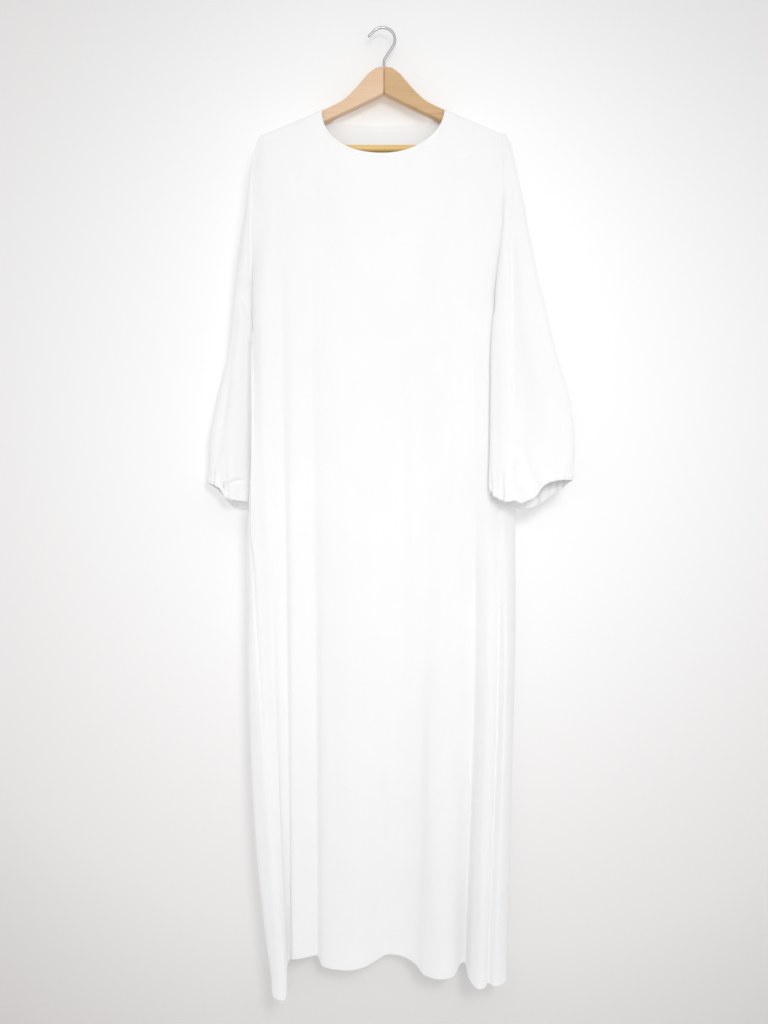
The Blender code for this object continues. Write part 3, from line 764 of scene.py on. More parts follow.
@dataclass
class Hanger:
    """Contoured wooden arms, a trouser bar and a wire hook; lengths in millimetres."""

    reach: float = 196.0
    thick: float = 13.0
    forward: float = 22.0  # how far an arm's end stands before its root
    edge_round: float = 3.2
    stations: int = 30
    block_half: float = 10.0  # half the height of the block that an arm starts as
    mitre_gap: float = 0.15
    top: tuple[Outline, ...] = (
        Outline(0, -64), Outline(10, -65), Outline(24, -74), Outline(38, -90), Outline(51, -105),
        Outline(67, -120), Outline(79, -127.5), Outline(101, -139), Outline(196, -188.5),
    )
    underside: tuple[Outline, ...] = (
        Outline(0, -108), Outline(148, -185.5), Outline(170, -199), Outline(184, -213), Outline(196, -216),
    )
    bar_reach: float = 188.5
    bar_radius: float = 6.0
    bar_height: float = -206.0
    bar_depth: float = -20.0
    bar_round: float = 0.8
    bar_sides: int = 48
    wire: float = 4.0
    wire_sides: int = 24
    tip_inset: float = 0.7
    tip_rise: float = 0.5
    stem_foot: float = -84.0
    wire_moves: tuple[WireMove, ...] = (
        WireMove(30.2), WireMove(9.0, 33, 8), WireMove(24.2), WireMove(20.0, -168, 56), WireMove(12.6),
    )

    def middle(self, x: np.ndarray) -> np.ndarray:
        """Depth of the middle of an arm, which curves forward to its end."""
        return -self.forward * (np.minimum(np.abs(x), self.reach) / self.reach) ** 2

    def top_height(self, x: np.ndarray) -> np.ndarray:
        """Height of an arm's upper edge."""
        return read_rows(self.top, "x", "z", np.abs(x))

    def build_arm(self, side: Side, material: bpy.types.Material) -> bpy.types.Object:
        """Model one arm: a block cut into stations, moved to the outline and rounded.

        Args:
            side: which arm.
            material: its wood.

        Returns:
            The finished arm.
        """
        start = self.mitre_gap
        middle_x = (start + self.reach) / 2 * side.value
        bpy.ops.object.select_all(action="DESELECT")
        bpy.ops.mesh.primitive_cube_add(size=1.0, location=(middle_x * MM, 0, 0))
        arm = bpy.context.object
        arm.scale = ((self.reach - start) * MM, self.thick * MM, 2 * self.block_half * MM)
        bpy.ops.object.transform_apply(location=True, rotation=True, scale=True)
        Workbench.edit(arm)
        places = [start + (self.reach - start) * n / self.stations for n in range(self.stations + 1)]
        for x in places[1:-1]:
            bpy.ops.mesh.select_all(action="SELECT")
            bpy.ops.mesh.bisect(plane_co=(x * side.value * MM, 0, 0), plane_no=(1, 0, 0))
        for x in places:
            at = np.array([x])
            goal_top = float(self.top_height(at)[0])
            goal_low = float(read_rows(self.underside, "x", "z", at)[0])
            depth = float(self.middle(at)[0])
            here = x * side.value * MM
            for goal, now in ((goal_top, self.block_half), (goal_low, -self.block_half)):
                Workbench.select_points(
                    arm, lambda p: abs(p.x - here) < TOUCH and abs(p.z - now * MM) < TOUCH
                )
                bpy.ops.transform.translate(value=(0, depth * MM, (goal - now) * MM))
        bpy.ops.object.mode_set(mode="OBJECT")
        Workbench.round_edges(arm, self.edge_round, 5, 50)
        return Workbench.finish(arm, material, "arm_" + side.name.lower())

    def build_bar(self, material: bpy.types.Material) -> bpy.types.Object:
        """Model the trouser bar with softened ends.

        Args:
            material: its wood.

        Returns:
            The finished bar.
        """
        bpy.ops.object.select_all(action="DESELECT")
        bpy.ops.mesh.primitive_cylinder_add(
            vertices=self.bar_sides, radius=self.bar_radius * MM, depth=2 * self.bar_reach * MM,
            location=(0, self.bar_depth * MM, self.bar_height * MM), rotation=(0, math.pi / 2, 0),
        )
        bar = bpy.context.object
        Workbench.round_edges(bar, self.bar_round, 3, 60)
        return Workbench.finish(bar, material, "trouser_bar")

    def build_hook(self, material: bpy.types.Material) -> bpy.types.Object:
        """Model the hook: a ring of wire drawn out along its straights and spun round its turns.

        Args:
            material: its steel.

        Returns:
            The finished hook.
        """
        bpy.ops.object.select_all(action="DESELECT")
        bpy.ops.mesh.primitive_circle_add(
            vertices=self.wire_sides, radius=self.wire / 2 * MM, fill_type="NGON",
            location=(0, 0, self.stem_foot * MM),
        )
        hook = bpy.context.object
        bpy.ops.object.transform_apply(location=True, rotation=True, scale=True)
        Workbench.edit(hook)
        bpy.ops.mesh.select_all(action="SELECT")
        here = Vector((0, 0, self.stem_foot))
        way = Vector((0, 0, 1))
        for move in self.wire_moves:
            if move.turn:
                angle = math.radians(move.turn)
                aside = Vector((way.z, 0, -way.x)) * math.copysign(move.length, angle)
                pivot = here + aside
                bpy.ops.mesh.spin(steps=move.steps, angle=-angle, center=pivot * MM, axis=(0, 1, 0))
                spun = Matrix.Rotation(angle, 3, "Y")
                here = pivot + spun @ (here - pivot)
                way = spun @ way
            else:
                bpy.ops.mesh.extrude_region_move(
                    TRANSFORM_OT_translate={"value": tuple(way * move.length * MM)}
                )
                here = here + way * move.length
        bpy.ops.mesh.inset(thickness=self.tip_inset * MM)
        bpy.ops.transform.translate(value=way * self.tip_rise * MM)
        bpy.ops.mesh.select_all(action="SELECT")
        bpy.ops.mesh.remove_doubles(threshold=WELD)
        bpy.ops.mesh.normals_make_consistent(inside=False)
        return Workbench.finish(hook, material, "hook_wire")

    def build(self) -> None:
        """Make the whole hanger and set it on the root body."""
        made = (
            # The left arm gets the copy of the wood with painted light, and the right arm gets the copy
            # with painted shade.
            (self.build_arm(Side.LEFT, LIT_ARM_WOOD.make()), "hanger_arm_left", "pale_wood"),
            (self.build_arm(Side.RIGHT, SHADED_ARM_WOOD.make()), "hanger_arm_right", "warm_wood"),
            (self.build_bar(BAR_WOOD.make()), "hanger_bar", "pale_wood"),
            (self.build_hook(STEEL.make()), "hanger_hook", "bright_steel"),
        )
        for piece, node, slot in made:
            Workbench.stand_for(piece, node, slot)


# The body


@dataclass(frozen=True)
class FoldLine:
    """A fold line of a body panel, in millimetres.

    top is its place along the upper edge: 0 to 1 is the left shoulder, 1 to 2 the neckline, 2 to 3 the
    right shoulder. Its place and depth are given at the chest, the wrist, the hip and the hem.
    """

    name: str
    top: float
    x_chest: float
    x_hip: float
    x_hem: float
    y_chest: float
    y_wrist: float
    y_hip: float
    y_hem: float
    hem: float
    belly: float = 0.0  # how far it swings out to the left between the hip and the hem


@dataclass(frozen=True)
class SeamPoint:
    """Where the front and the back panel's edges lie at a height; in the armhole they are apart."""

    z: float
    front_x: float
    front_y: float
    back_x: float
    back_y: float


@dataclass(frozen=True)
class SleeveSection:
    """A section of a sleeve: its outer and inner folds, middle depth, half thickness and front valley."""

    z: float
    outer: float
    inner: float
    middle: float
    half: float
    valley: float
    lean: float = 0.0  # how far the inner fold lies back from the middle depth


@dataclass(frozen=True)
class RimPoint:
    """Height of a cuff's lower edge at an angle: 0 is the outer fold, 90 the front, 180 the inner fold."""

    angle: float
    height: float


FRONT_FOLDS = (
    FoldLine("left edge", 0.06, -211, -194, -154.5, -26, -41, -36, -50, -1557),
    FoldLine("left flank", 0.38, -196, -181, -154, -36, -42, -35, -40, -1546),
    FoldLine("left flank end", 0.55, -174, -171, -158, -37, -37, -29, -24, -1530),
    FoldLine("left groove", 0.62, -163, -157, -151, -35.5, -31, -25, -15, -1514),
    FoldLine("side panel ridge", 0.70, -150, -147, -147, -37.5, -36, -33, -24, -1511),
    FoldLine("side panel", 0.86, -124, -122, -117, -37, -32, -25, -15, -1511),
    FoldLine("side panel valley", 0.93, -112, -110, -108, -36.5, -30.5, -22, -11, -1512),
    FoldLine("centre panel edge", 1.0, -96, -97, -98, -38, -35, -29, -25, -1522),
    FoldLine("centre panel crest", 1.24, -63, -62, -60, -39, -38, -35, -33, -1524),
    FoldLine("centre panel turn", 1.36, -40, -34, -36, -38.5, -37.5, -35, -30, -1522),
    FoldLine("centre panel slope", 1.44, -22, -8, -18, -38, -36.5, -34, -19, -1519),
    FoldLine("centre valley", 1.52, 12, 30, 4, -38, -35.5, -31, -7, -1512.5),
    FoldLine("centre valley end", 1.57, 38, 48, 28, -38, -35.5, -31, -8, -1514.5),
    FoldLine("centre rise", 1.64, 58, 66, 50, -38, -36, -32, -17, -1522),
    FoldLine("second crest side", 1.71, 74, 78, 66, -38.5, -37, -34, -33, -1532),
    FoldLine("second crest", 1.80, 88, 90, 88, -39, -38, -36, -44, -1532),
    FoldLine("second crest end", 2.0, 108, 112, 109, -38, -37, -34, -38, -1531),
    FoldLine("bright flank", 2.22, 134, 138, 124, -36.5, -31, -22, -18, -1521),
    FoldLine("dark groove", 2.30, 143, 147, 131, -35.5, -29, -20, -14, -1522),
    FoldLine("third crest edge", 2.42, 153, 156, 137, -36, -32, -30, -40, -1536),
    FoldLine("third crest", 2.54, 162, 166, 149, -37, -34, -36, -53, -1542),
    FoldLine("third crest end", 2.66, 170, 177, 158, -36, -32, -34, -51, -1541),
    FoldLine("thin crease", 2.74, 175, 184, 164.5, -35, -29, -29, -44, -1537.5),
    FoldLine("last crest", 2.84, 179, 194, 175, -35, -28, -34, -52, -1538),
    FoldLine("right edge", 2.93, 185, 211, 192, -35, -14, -14, -38, -1539),
)
BACK_FOLDS = (
    FoldLine("right turn", 2.96, 200, 215, 195, -24, 8, 6, -2, -1534),
    FoldLine("back fold 1", 2.80, 207, 199, 183, -12, 10, 13, 13, -1526),
    FoldLine("back valley 1", 2.50, 178, 169, 162, 4, 6, 3, -2, -1518),
    FoldLine("back fold 2", 2.25, 138, 136, 134, 9, 12, 14, 16, -1519),
    FoldLine("back valley 2", 2.02, 98, 102, 106, 9, 7, 5, 3, -1516),
    FoldLine("back fold 3", 1.76, 54, 56, 66, 10, 13, 15, 17, -1517),
    FoldLine("back valley 3", 1.52, 10, 2, 12, 9, 8, 3, -1, -1511),
    FoldLine("back fold 4", 1.28, -32, -50, -42, 10, 12, 16, 17, -1515),
    FoldLine("back valley 4", 1.02, -80, -86, -72, 9, 8, 7, 5, -1513),
    FoldLine("back fold 5", 0.76, -122, -124, -108, 8, 8, 12, 14, -1512),
    FoldLine("back valley 5", 0.52, -158, -166, -148, 1, -14, 4, 3, -1514),
    FoldLine("back fold 6", 0.28, -184, -195, -168, -8, -26, 9, 8, -1522),
    FoldLine("left outer fold", 0.10, -199, -218, -176, -12, -35, -27, -45, -1556, 9.5),
    FoldLine("left front crest", 0.03, -205, -210, -168, -12, -40, -34, -54, -1557, 6.0),
)
FOLDS = {Face.FRONT: FRONT_FOLDS, Face.BACK: BACK_FOLDS}
SIDE_SEAMS = {
    Side.LEFT: (
        SeamPoint(-230, -209.5, -31, -200, -10),
        SeamPoint(-300, -211.5, -30, -198, -2),
        SeamPoint(-370, -212, -26, -199, -4),
        SeamPoint(-410, -211.5, -19, -204, -8),
        SeamPoint(-440, -208, -13, -208, -13),
        SeamPoint(-520, -211, -30, -211, -30),
        SeamPoint(-790, -212, -40, -212, -40),
        SeamPoint(-940, -205, -35, -205, -35),
        SeamPoint(-1300, -178, -50, -178, -50),
        SeamPoint(-1557, -157, -58, -157, -58),
    ),
    Side.RIGHT: (
        SeamPoint(-230, 189, -37, 206, -6),
        SeamPoint(-300, 189, -38, 210, 0),
        SeamPoint(-370, 189, -38, 210, -6),
        SeamPoint(-410, 189.5, -37, 205, -18),
        SeamPoint(-440, 191, -35, 191, -35),
        SeamPoint(-520, 199, -30, 199, -30),
        SeamPoint(-640, 208, -17, 208, -17),
        SeamPoint(-790, 214, -5, 214, -5),
        SeamPoint(-940, 214, -4, 214, -4),
        SeamPoint(-1300, 205, -8, 205, -8),
        SeamPoint(-1539, 196, -24, 196, -24),
    ),
}
SLEEVES = {
    Side.LEFT: (
        SleeveSection(-190, -199, -196, -20, 7, 0),
        SleeveSection(-197, -204, -197, -20, 8, 0),
        SleeveSection(-209, -207, -198, -19, 10, 0),
        SleeveSection(-230, -214, -200, -18, 11, 0),
        SleeveSection(-300, -225, -202, -13, 14, 0),
        SleeveSection(-370, -237, -205, -8, 15, 1),
        SleeveSection(-410, -242, -207, -5, 15, 2),
        SleeveSection(-440, -246, -208, -2, 15, 3),
        SleeveSection(-530, -256, -202, 1, 14, 5),
        SleeveSection(-620, -277, -188, 2, 14, 6),
        SleeveSection(-685, -287, -178, 2, 14, 5),
        SleeveSection(-730, -287, -171, 2, 14, 3),
    ),
    Side.RIGHT: (
        SleeveSection(-187, 197, 190, -20, 7, 0),
        SleeveSection(-195, 202, 192, -20, 8, 0),
        SleeveSection(-209, 206, 194, -21, 10, 0),
        SleeveSection(-230, 210, 196, -22, 12, 0),
        SleeveSection(-300, 224, 190, -27, 14, 2, -8),
        SleeveSection(-340, 230, 188, -31, 13, 2, -8),
        SleeveSection(-370, 236, 185, -35, 13, 3, -6),
        SleeveSection(-410, 242, 180, -41, 13, 4, 0),
        SleeveSection(-440, 248, 177, -45, 13, 5, 4),
        SleeveSection(-530, 267, 170, -52, 13, 6, 10),
        SleeveSection(-620, 292, 169, -54, 14, 6, 11),
        SleeveSection(-685, 299, 168, -54, 15, 5, 11),
        SleeveSection(-730, 295, 167, -55, 16, 3, 12),
        SleeveSection(-765, 287, 169, -55, 15, 1, 12),
    ),
}
CUFF_RIMS = {
    Side.LEFT: (
        RimPoint(0, -745), RimPoint(32, -747), RimPoint(49, -751), RimPoint(56, -760),
        RimPoint(62, -768), RimPoint(72, -771), RimPoint(97, -775), RimPoint(140, -777),
        RimPoint(180, -780), RimPoint(225, -789), RimPoint(262, -789), RimPoint(284, -786),
        RimPoint(294, -778), RimPoint(303, -769), RimPoint(314, -759), RimPoint(328, -751),
        RimPoint(360, -745),
    ),
    Side.RIGHT: (
        RimPoint(0, -742), RimPoint(42, -742), RimPoint(64, -745), RimPoint(77, -752),
        RimPoint(83, -766), RimPoint(91, -773), RimPoint(101, -778), RimPoint(110, -774),
        RimPoint(122, -776), RimPoint(140, -772), RimPoint(158, -765), RimPoint(180, -754),
        RimPoint(205, -768), RimPoint(225, -779), RimPoint(250, -784), RimPoint(270, -786),
        RimPoint(285, -780), RimPoint(300, -770), RimPoint(320, -758), RimPoint(340, -750),
        RimPoint(360, -742),
    ),
}
FRONT_CREASES = (
    Crease(-140, -470, -150, -900, 1.2, 9),
    Crease(-60, -330, -48, -800, -0.7, 14, -6),
    Crease(-22, -700, -34, -1330, 0.9, 15, 5),
    Crease(24, -420, 34, -1120, -0.9, 12, 4),
    Crease(52, -560, 44, -1240, 0.8, 10, -5),
    Crease(84, -300, 92, -860, 0.9, 11, 3),
    Crease(118, -380, 120, -980, 1.3, 8, -3),
    Crease(150, -260, 166, -560, -1.0, 6, 3),
    Crease(-168, -250, -176, -620, -1.1, 7, -3),
    Crease(-188, -700, -170, -1240, 1.0, 6, 2),
    Crease(-84, -960, -80, -1440, -1.0, 7, 3),
    Crease(-6, -1180, 2, -1480, -1.2, 9, -2),
    Crease(70, -1060, 76, -1500, 1.2, 8, 2),
    Crease(-150, -262, -84, -300, -0.5, 9, 4),
    Crease(96, -250, 152, -286, -0.5, 9, -4),
)
BACK_CREASES = (
    Crease(-150, -300, -138, -760, -1.4, 10, 4),
    Crease(-96, -250, -104, -640, 1.2, 12, -3),
    Crease(-40, -420, -30, -1020, 1.1, 12, 5),
    Crease(12, -300, 20, -900, -1.2, 10, -4),
    Crease(68, -520, 60, -1180, 1.2, 11, 4),
    Crease(112, -280, 122, -780, -1.3, 9, 3),
    Crease(156, -460, 148, -1060, 1.0, 8, -3),
    Crease(-120, -960, -126, -1440, 1.1, 9, 3),
    Crease(-60, -1040, -56, -1460, -1.0, 8, -2),
    Crease(36, -1080, 30, -1480, -1.1, 9, 3),
    Crease(100, -1120, 104, -1490, 1.2, 8, 2),
    Crease(-130, -240, -60, -286, -0.6, 10, -4),
    Crease(70, -236, 136, -280, -0.6, 10, 4),
)
BODY_CREASES = {Face.FRONT: FRONT_CREASES, Face.BACK: BACK_CREASES}
SLEEVE_CREASES = {
    Side.LEFT: (
        Crease(-232, -420, -266, -730, -1.4, 6, -4),
        Crease(-246, -560, -276, -742, -1.8, 5, -3),
        Crease(-222, -560, -232, -736, 1.2, 9, 3),
        Crease(-271, -757, -224, -741, -3.6, 2.4, 6),
        Crease(-250, -690, -252, -764, 1.3, 4),
        Crease(-228, -700, -226, -770, -1.2, 4),
    ),
    Side.RIGHT: (
        Crease(203, -268, 207, -690, -3.4, 5.5, -2),
        Crease(207, -670, 192, -762, -2.6, 5, 3),
        Crease(212, -672, 240, -760, -2.6, 5, -4),
        Crease(212, -690, 214, -768, 2.4, 8),
        Crease(240, -420, 262, -730, 1.2, 12, 6),
        Crease(178, -520, 176, -740, -1.0, 5),
        Crease(268, -600, 274, -738, -0.8, 6, 2),
        Crease(230, -722, 234, -776, -1.2, 3),
        Crease(198, -724, 196, -776, 1.0, 4),
    ),
}
SLEEVE_BACK_CREASES = {
    Side.LEFT: (
        Crease(-222, -360, -240, -700, -1.8, 8, 4),
        Crease(-246, -480, -262, -742, 1.5, 8, -4),
        Crease(-214, -600, -222, -764, -1.5, 6, 3),
        Crease(-262, -650, -258, -752, -1.4, 5),
    ),
    Side.RIGHT: (
        Crease(212, -340, 224, -690, -1.8, 8, -4),
        Crease(240, -460, 256, -742, 1.5, 9, 4),
        Crease(196, -600, 204, -760, -1.5, 6, -3),
        Crease(264, -640, 258, -748, -1.4, 5),
    ),
}


@dataclass
class GarmentForm:
    """The garment's cut and hang, which its panels and sleeves share; lengths in millimetres."""

    hanger: Hanger
    neck_left: float = -101.0
    neck_right: float = 98.0
    neck_height: float = -136.6
    neck_drop: dict[Face, float] = field(default_factory=lambda: {Face.FRONT: 83.5, Face.BACK: 18.0})
    neck_roundness: dict[Side, float] = field(default_factory=lambda: {Side.LEFT: 2.25, Side.RIGHT: 2.0})
    shoulder_end: dict[Side, float] = field(default_factory=lambda: {Side.LEFT: -196.0, Side.RIGHT: 189.0})
    wrap: float = 10.0  # the cloth's distance before and behind the middle of the hanger's arm
    lift: float = 1.9  # its height over the arm
    yoke: float = -230.0
    underarm: float = -440.0
    wrist: float = -790.0
    hip: float = -940.0
    mid_hem: float = -1530.0
    front_yoke_depth: float = -38.0
    back_yoke_gap: float = 1.0
    edge_slope: float = 0.8  # below 1, the panel's edge leaves the shoulder's end fast
    belly_low: float = 1.6  # above 1, a fold's swing is greatest nearer the hem
    ring_width: float = 0.85  # below 1, a sleeve's ring is fuller than an ellipse
    ring_depth: float = 0.8
    valley_place: float = 0.40
    valley_width: float = 0.14
    armhole_trim: float = 50.0  # degrees left out of a sleeve's ring on each side of its inner fold
    fold_trim: float = -20.0  # the same in front where the sleeve laps the body, to start behind its fold
    armhole_pull: float = 4.0  # how closely the ring's shift to the body's edge stays at that edge
    lap_pull: float = 200.0  # more of it where the sleeve laps the body
    lap_top: float = -235.0
    lap_full: float = -375.0
    underarm_clear: float = 3.0
    underarm_foot: float = 25.0  # over this height above the underarm the sleeve draws clear of the body
    underarm_blend: float = 45.0
    front_meeting: float = 0.08  # share of the way round the sleeve that the front's edge turns towards
    lap_meeting: float = 0.27  # more of it where the sleeve laps the body
    back_meeting: float = 0.92  # the same for the back's edge
    level_blend: float = 20.0  # over this height above the yoke a side seam's cloth turns to run sideways

    def shoulder_height(self, x: np.ndarray) -> np.ndarray:
        """Height of the cloth where it lies on the hanger's arm."""
        return self.hanger.top_height(x) + self.lift

    def shoulder_tip(self, side: Side) -> np.ndarray:
        """Place (x, y, z) where a shoulder ends on the hanger's arm."""
        x = np.array([self.shoulder_end[side]])
        return np.concatenate([x, self.hanger.middle(x), self.shoulder_height(x)])

    def upper_edge(self, top: float, face: Face) -> tuple[float, float]:
        """A point of a panel's upper edge.

        Args:
            top: from 0 at the left sleeve to 3 at the right one.
            face: which panel.

        Returns:
            The point's x and z.
        """
        if top < 1 or top > 2:
            if top < 1:
                x = self.shoulder_end[Side.LEFT] + (self.neck_left - self.shoulder_end[Side.LEFT]) * top
            else:
                x = self.neck_right + (self.shoulder_end[Side.RIGHT] - self.neck_right) * (top - 2)
            return x, float(self.shoulder_height(np.array([x]))[0])
        angle = math.pi * (top - 1)
        power = 2 / self.neck_roundness[Side.LEFT if top < 1.5 else Side.RIGHT]
        across = float(signed_power(np.array([math.cos(angle)]), power)[0])
        down = abs(math.sin(angle)) ** power
        middle = (self.neck_left + self.neck_right) / 2
        half = (self.neck_right - self.neck_left) / 2
        return middle - half * across, self.neck_height - self.neck_drop[face] * down

    def over_arm(self, x: np.ndarray, z: np.ndarray, yoke_depth: np.ndarray) -> np.ndarray:
        """Depth of the cloth above the yoke: it turns over the arm, then slopes down to the yoke's depth.

        Args:
            x: places across the garment.
            z: heights.
            yoke_depth: the cloth's depth at the yoke.

        Returns:
            The depth at each place.
        """
        top = self.shoulder_height(x)
        fall = np.maximum(top - z, 0.0)
        middle = self.hanger.middle(x)
        line = middle + np.sign(yoke_depth - middle) * self.wrap
        line = line + (yoke_depth - line) * np.minimum(fall / (top - self.yoke), 1.0)
        turn = np.minimum(fall / self.wrap, 1.0)
        return middle + (line - middle) * np.sqrt(1 - (1 - turn) ** 2)

    def seam(self, side: Side, face: Face, z: np.ndarray) -> np.ndarray:
        """Places (x, y) of a panel's side edge, which is the sleeve's edge in the armhole.

        Args:
            side: the garment's side.
            face: which panel.
            z: heights.

        Returns:
            One place a row.
        """
        rows = SIDE_SEAMS[side]
        x = read_rows(rows, "z", face.value + "_x", z)
        y = read_rows(rows, "z", face.value + "_y", z)
        end, _, top = self.shoulder_tip(side)
        share = np.clip((top - z) / (top - self.yoke), 0.0, 1.0)
        above = z > self.yoke
        x = np.where(above, end + (x - end) * share ** self.edge_slope, x)
        y = np.where(above, self.over_arm(np.full_like(z, end), z, y), y)
        return np.stack([x, y], axis=-1)

    def fold(self, line: FoldLine, face: Face, z: np.ndarray) -> np.ndarray:
        """Places (x, y) of a fold line.

        Args:
            line: the fold line.
            face: which panel it is in.
            z: heights, from the yoke down.

        Returns:
            One place a row.
        """
        x_yoke = line.x_chest if 1 <= line.top <= 2 else self.upper_edge(line.top, face)[0]
        if face is Face.FRONT:
            y_yoke = self.front_yoke_depth
        else:
            y_yoke = float(self.hanger.middle(np.array([x_yoke]))[0]) + self.wrap + self.back_yoke_gap
        x_stops = [self.yoke, self.underarm, self.hip, self.mid_hem]
        x = smooth_through(x_stops, [x_yoke, line.x_chest, line.x_hip, line.x_hem], z)
        skirt = np.clip((self.hip - z) / (self.hip - line.hem), 0.0, 1.0)
        x = x - line.belly * np.sin(np.pi * skirt ** self.belly_low)
        y_stops = [self.yoke, self.underarm, self.wrist, self.hip, self.mid_hem]
        y = smooth_through(y_stops, [y_yoke, line.y_chest, line.y_wrist, line.y_hip, line.y_hem], z)
        return np.stack([x, y], axis=-1)

    def sleeve_ring(self, side: Side, z: np.ndarray, angle: np.ndarray) -> np.ndarray:
        """Places (x, y) on a sleeve's flattened ring.

        Args:
            side: which sleeve.
            z: heights.
            angle: angles in degrees, 0 at the outer fold, 90 in front, 180 at the inner fold.

        Returns:
            One place for each height and angle.
        """
        rows = SLEEVES[side]
        names = ("outer", "inner", "middle", "half", "valley", "lean")
        outer, inner, middle, half, valley, lean = (read_rows(rows, "z", name, z) for name in names)
        turn = np.radians(angle)
        across = signed_power(np.cos(turn), self.ring_width)
        depth = signed_power(np.sin(turn), self.ring_depth)
        x = (outer + inner) / 2 + (outer - inner) / 2 * across
        y = middle - half * depth
        place = (1 - across) / 2
        trough = valley * np.exp(-(((1 - self.valley_place - place) / self.valley_width) ** 2))
        y = y + np.where(np.sin(turn) > 1e-9, trough, 0.0) + lean * place**2
        return np.stack([x, y], axis=-1)

    def lap(self, side: Side, z: np.ndarray) -> np.ndarray:
        """How far a sleeve's inner fold lies over the front: only the right one does.

        Args:
            side: which sleeve.
            z: heights.

        Returns:
            From 0 to 1, one a row.
        """
        if side is Side.LEFT:
            return np.zeros_like(z)
        return soft_step((self.lap_top - z) / (self.lap_top - self.lap_full))

    def armhole_ring(self, side: Side, z: np.ndarray, share: np.ndarray) -> np.ndarray:
        """Places (x, y) on a sleeve from the front panel's edge round the outside to the back panel's.

        Args:
            side: which sleeve.
            z: heights.
            share: from 0 at the front edge to 1 at the back edge.

        Returns:
            One place for each height and share.
        """
        lap = self.lap(side, z)
        trim = self.armhole_trim + (self.fold_trim - self.armhole_trim) * lap
        foot = soft_step((self.underarm + self.underarm_foot - z) / self.underarm_foot)
        clear = np.stack([0 * z, -side.value * self.underarm_clear * foot], axis=-1)
        start = self.seam(side, Face.FRONT, z) + clear - self.sleeve_ring(side, z, 180 - trim)
        end = self.seam(side, Face.BACK, z) + clear
        end = end - self.sleeve_ring(side, z, np.full_like(z, 180.0 + self.armhole_trim))
        sweep = np.where(share < 0.5, 180 - trim, 180 - self.armhole_trim)
        angle = (sweep * (1 - 2 * share)) % 360
        power = self.armhole_pull + np.where(share < 0.5, self.lap_pull * lap, 0.0)
        weight = np.abs(np.cos(math.pi * share)) ** power
        shift = np.where((share < 0.5)[..., None], start, end) * weight[..., None]
        return self.sleeve_ring(side, z, angle) + shift

    def edge_way(self, side: Side, face: Face, z: np.ndarray) -> np.ndarray:
        """Horizontal direction in which a panel's cloth crosses its side seam, leaving the panel.

        Args:
            side: the garment's side.
            face: which panel.
            z: heights.

        Returns:
            One unit vector a row.
        """
        own, other = (0, -1) if side is face.sides[0] else (-1, 0)
        low = np.minimum(z, self.yoke)
        edge = self.seam(side, face, low)
        before = self.fold(FOLDS[face][own], face, low)
        beyond = self.fold(FOLDS[face.other][other], face.other, low)
        share = np.full_like(z, self.back_meeting)
        if face is Face.FRONT:
            share = self.front_meeting + self.lap_meeting * self.lap(side, low)
        on_sleeve = self.armhole_ring(side, low, share)
        after = np.where((low > self.underarm)[:, None], on_sleeve, beyond)

        def unit(v: np.ndarray) -> np.ndarray:
            """Scale rows to length 1."""
            return v / np.maximum(np.linalg.norm(v, axis=-1, keepdims=True), 1e-9)

        way = unit(unit(edge - before) + unit(after - edge))
        level = soft_step((z - self.yoke) / self.level_blend)[:, None]
        return unit(way * (1 - level) + np.array([side.value, 0.0]) * level)


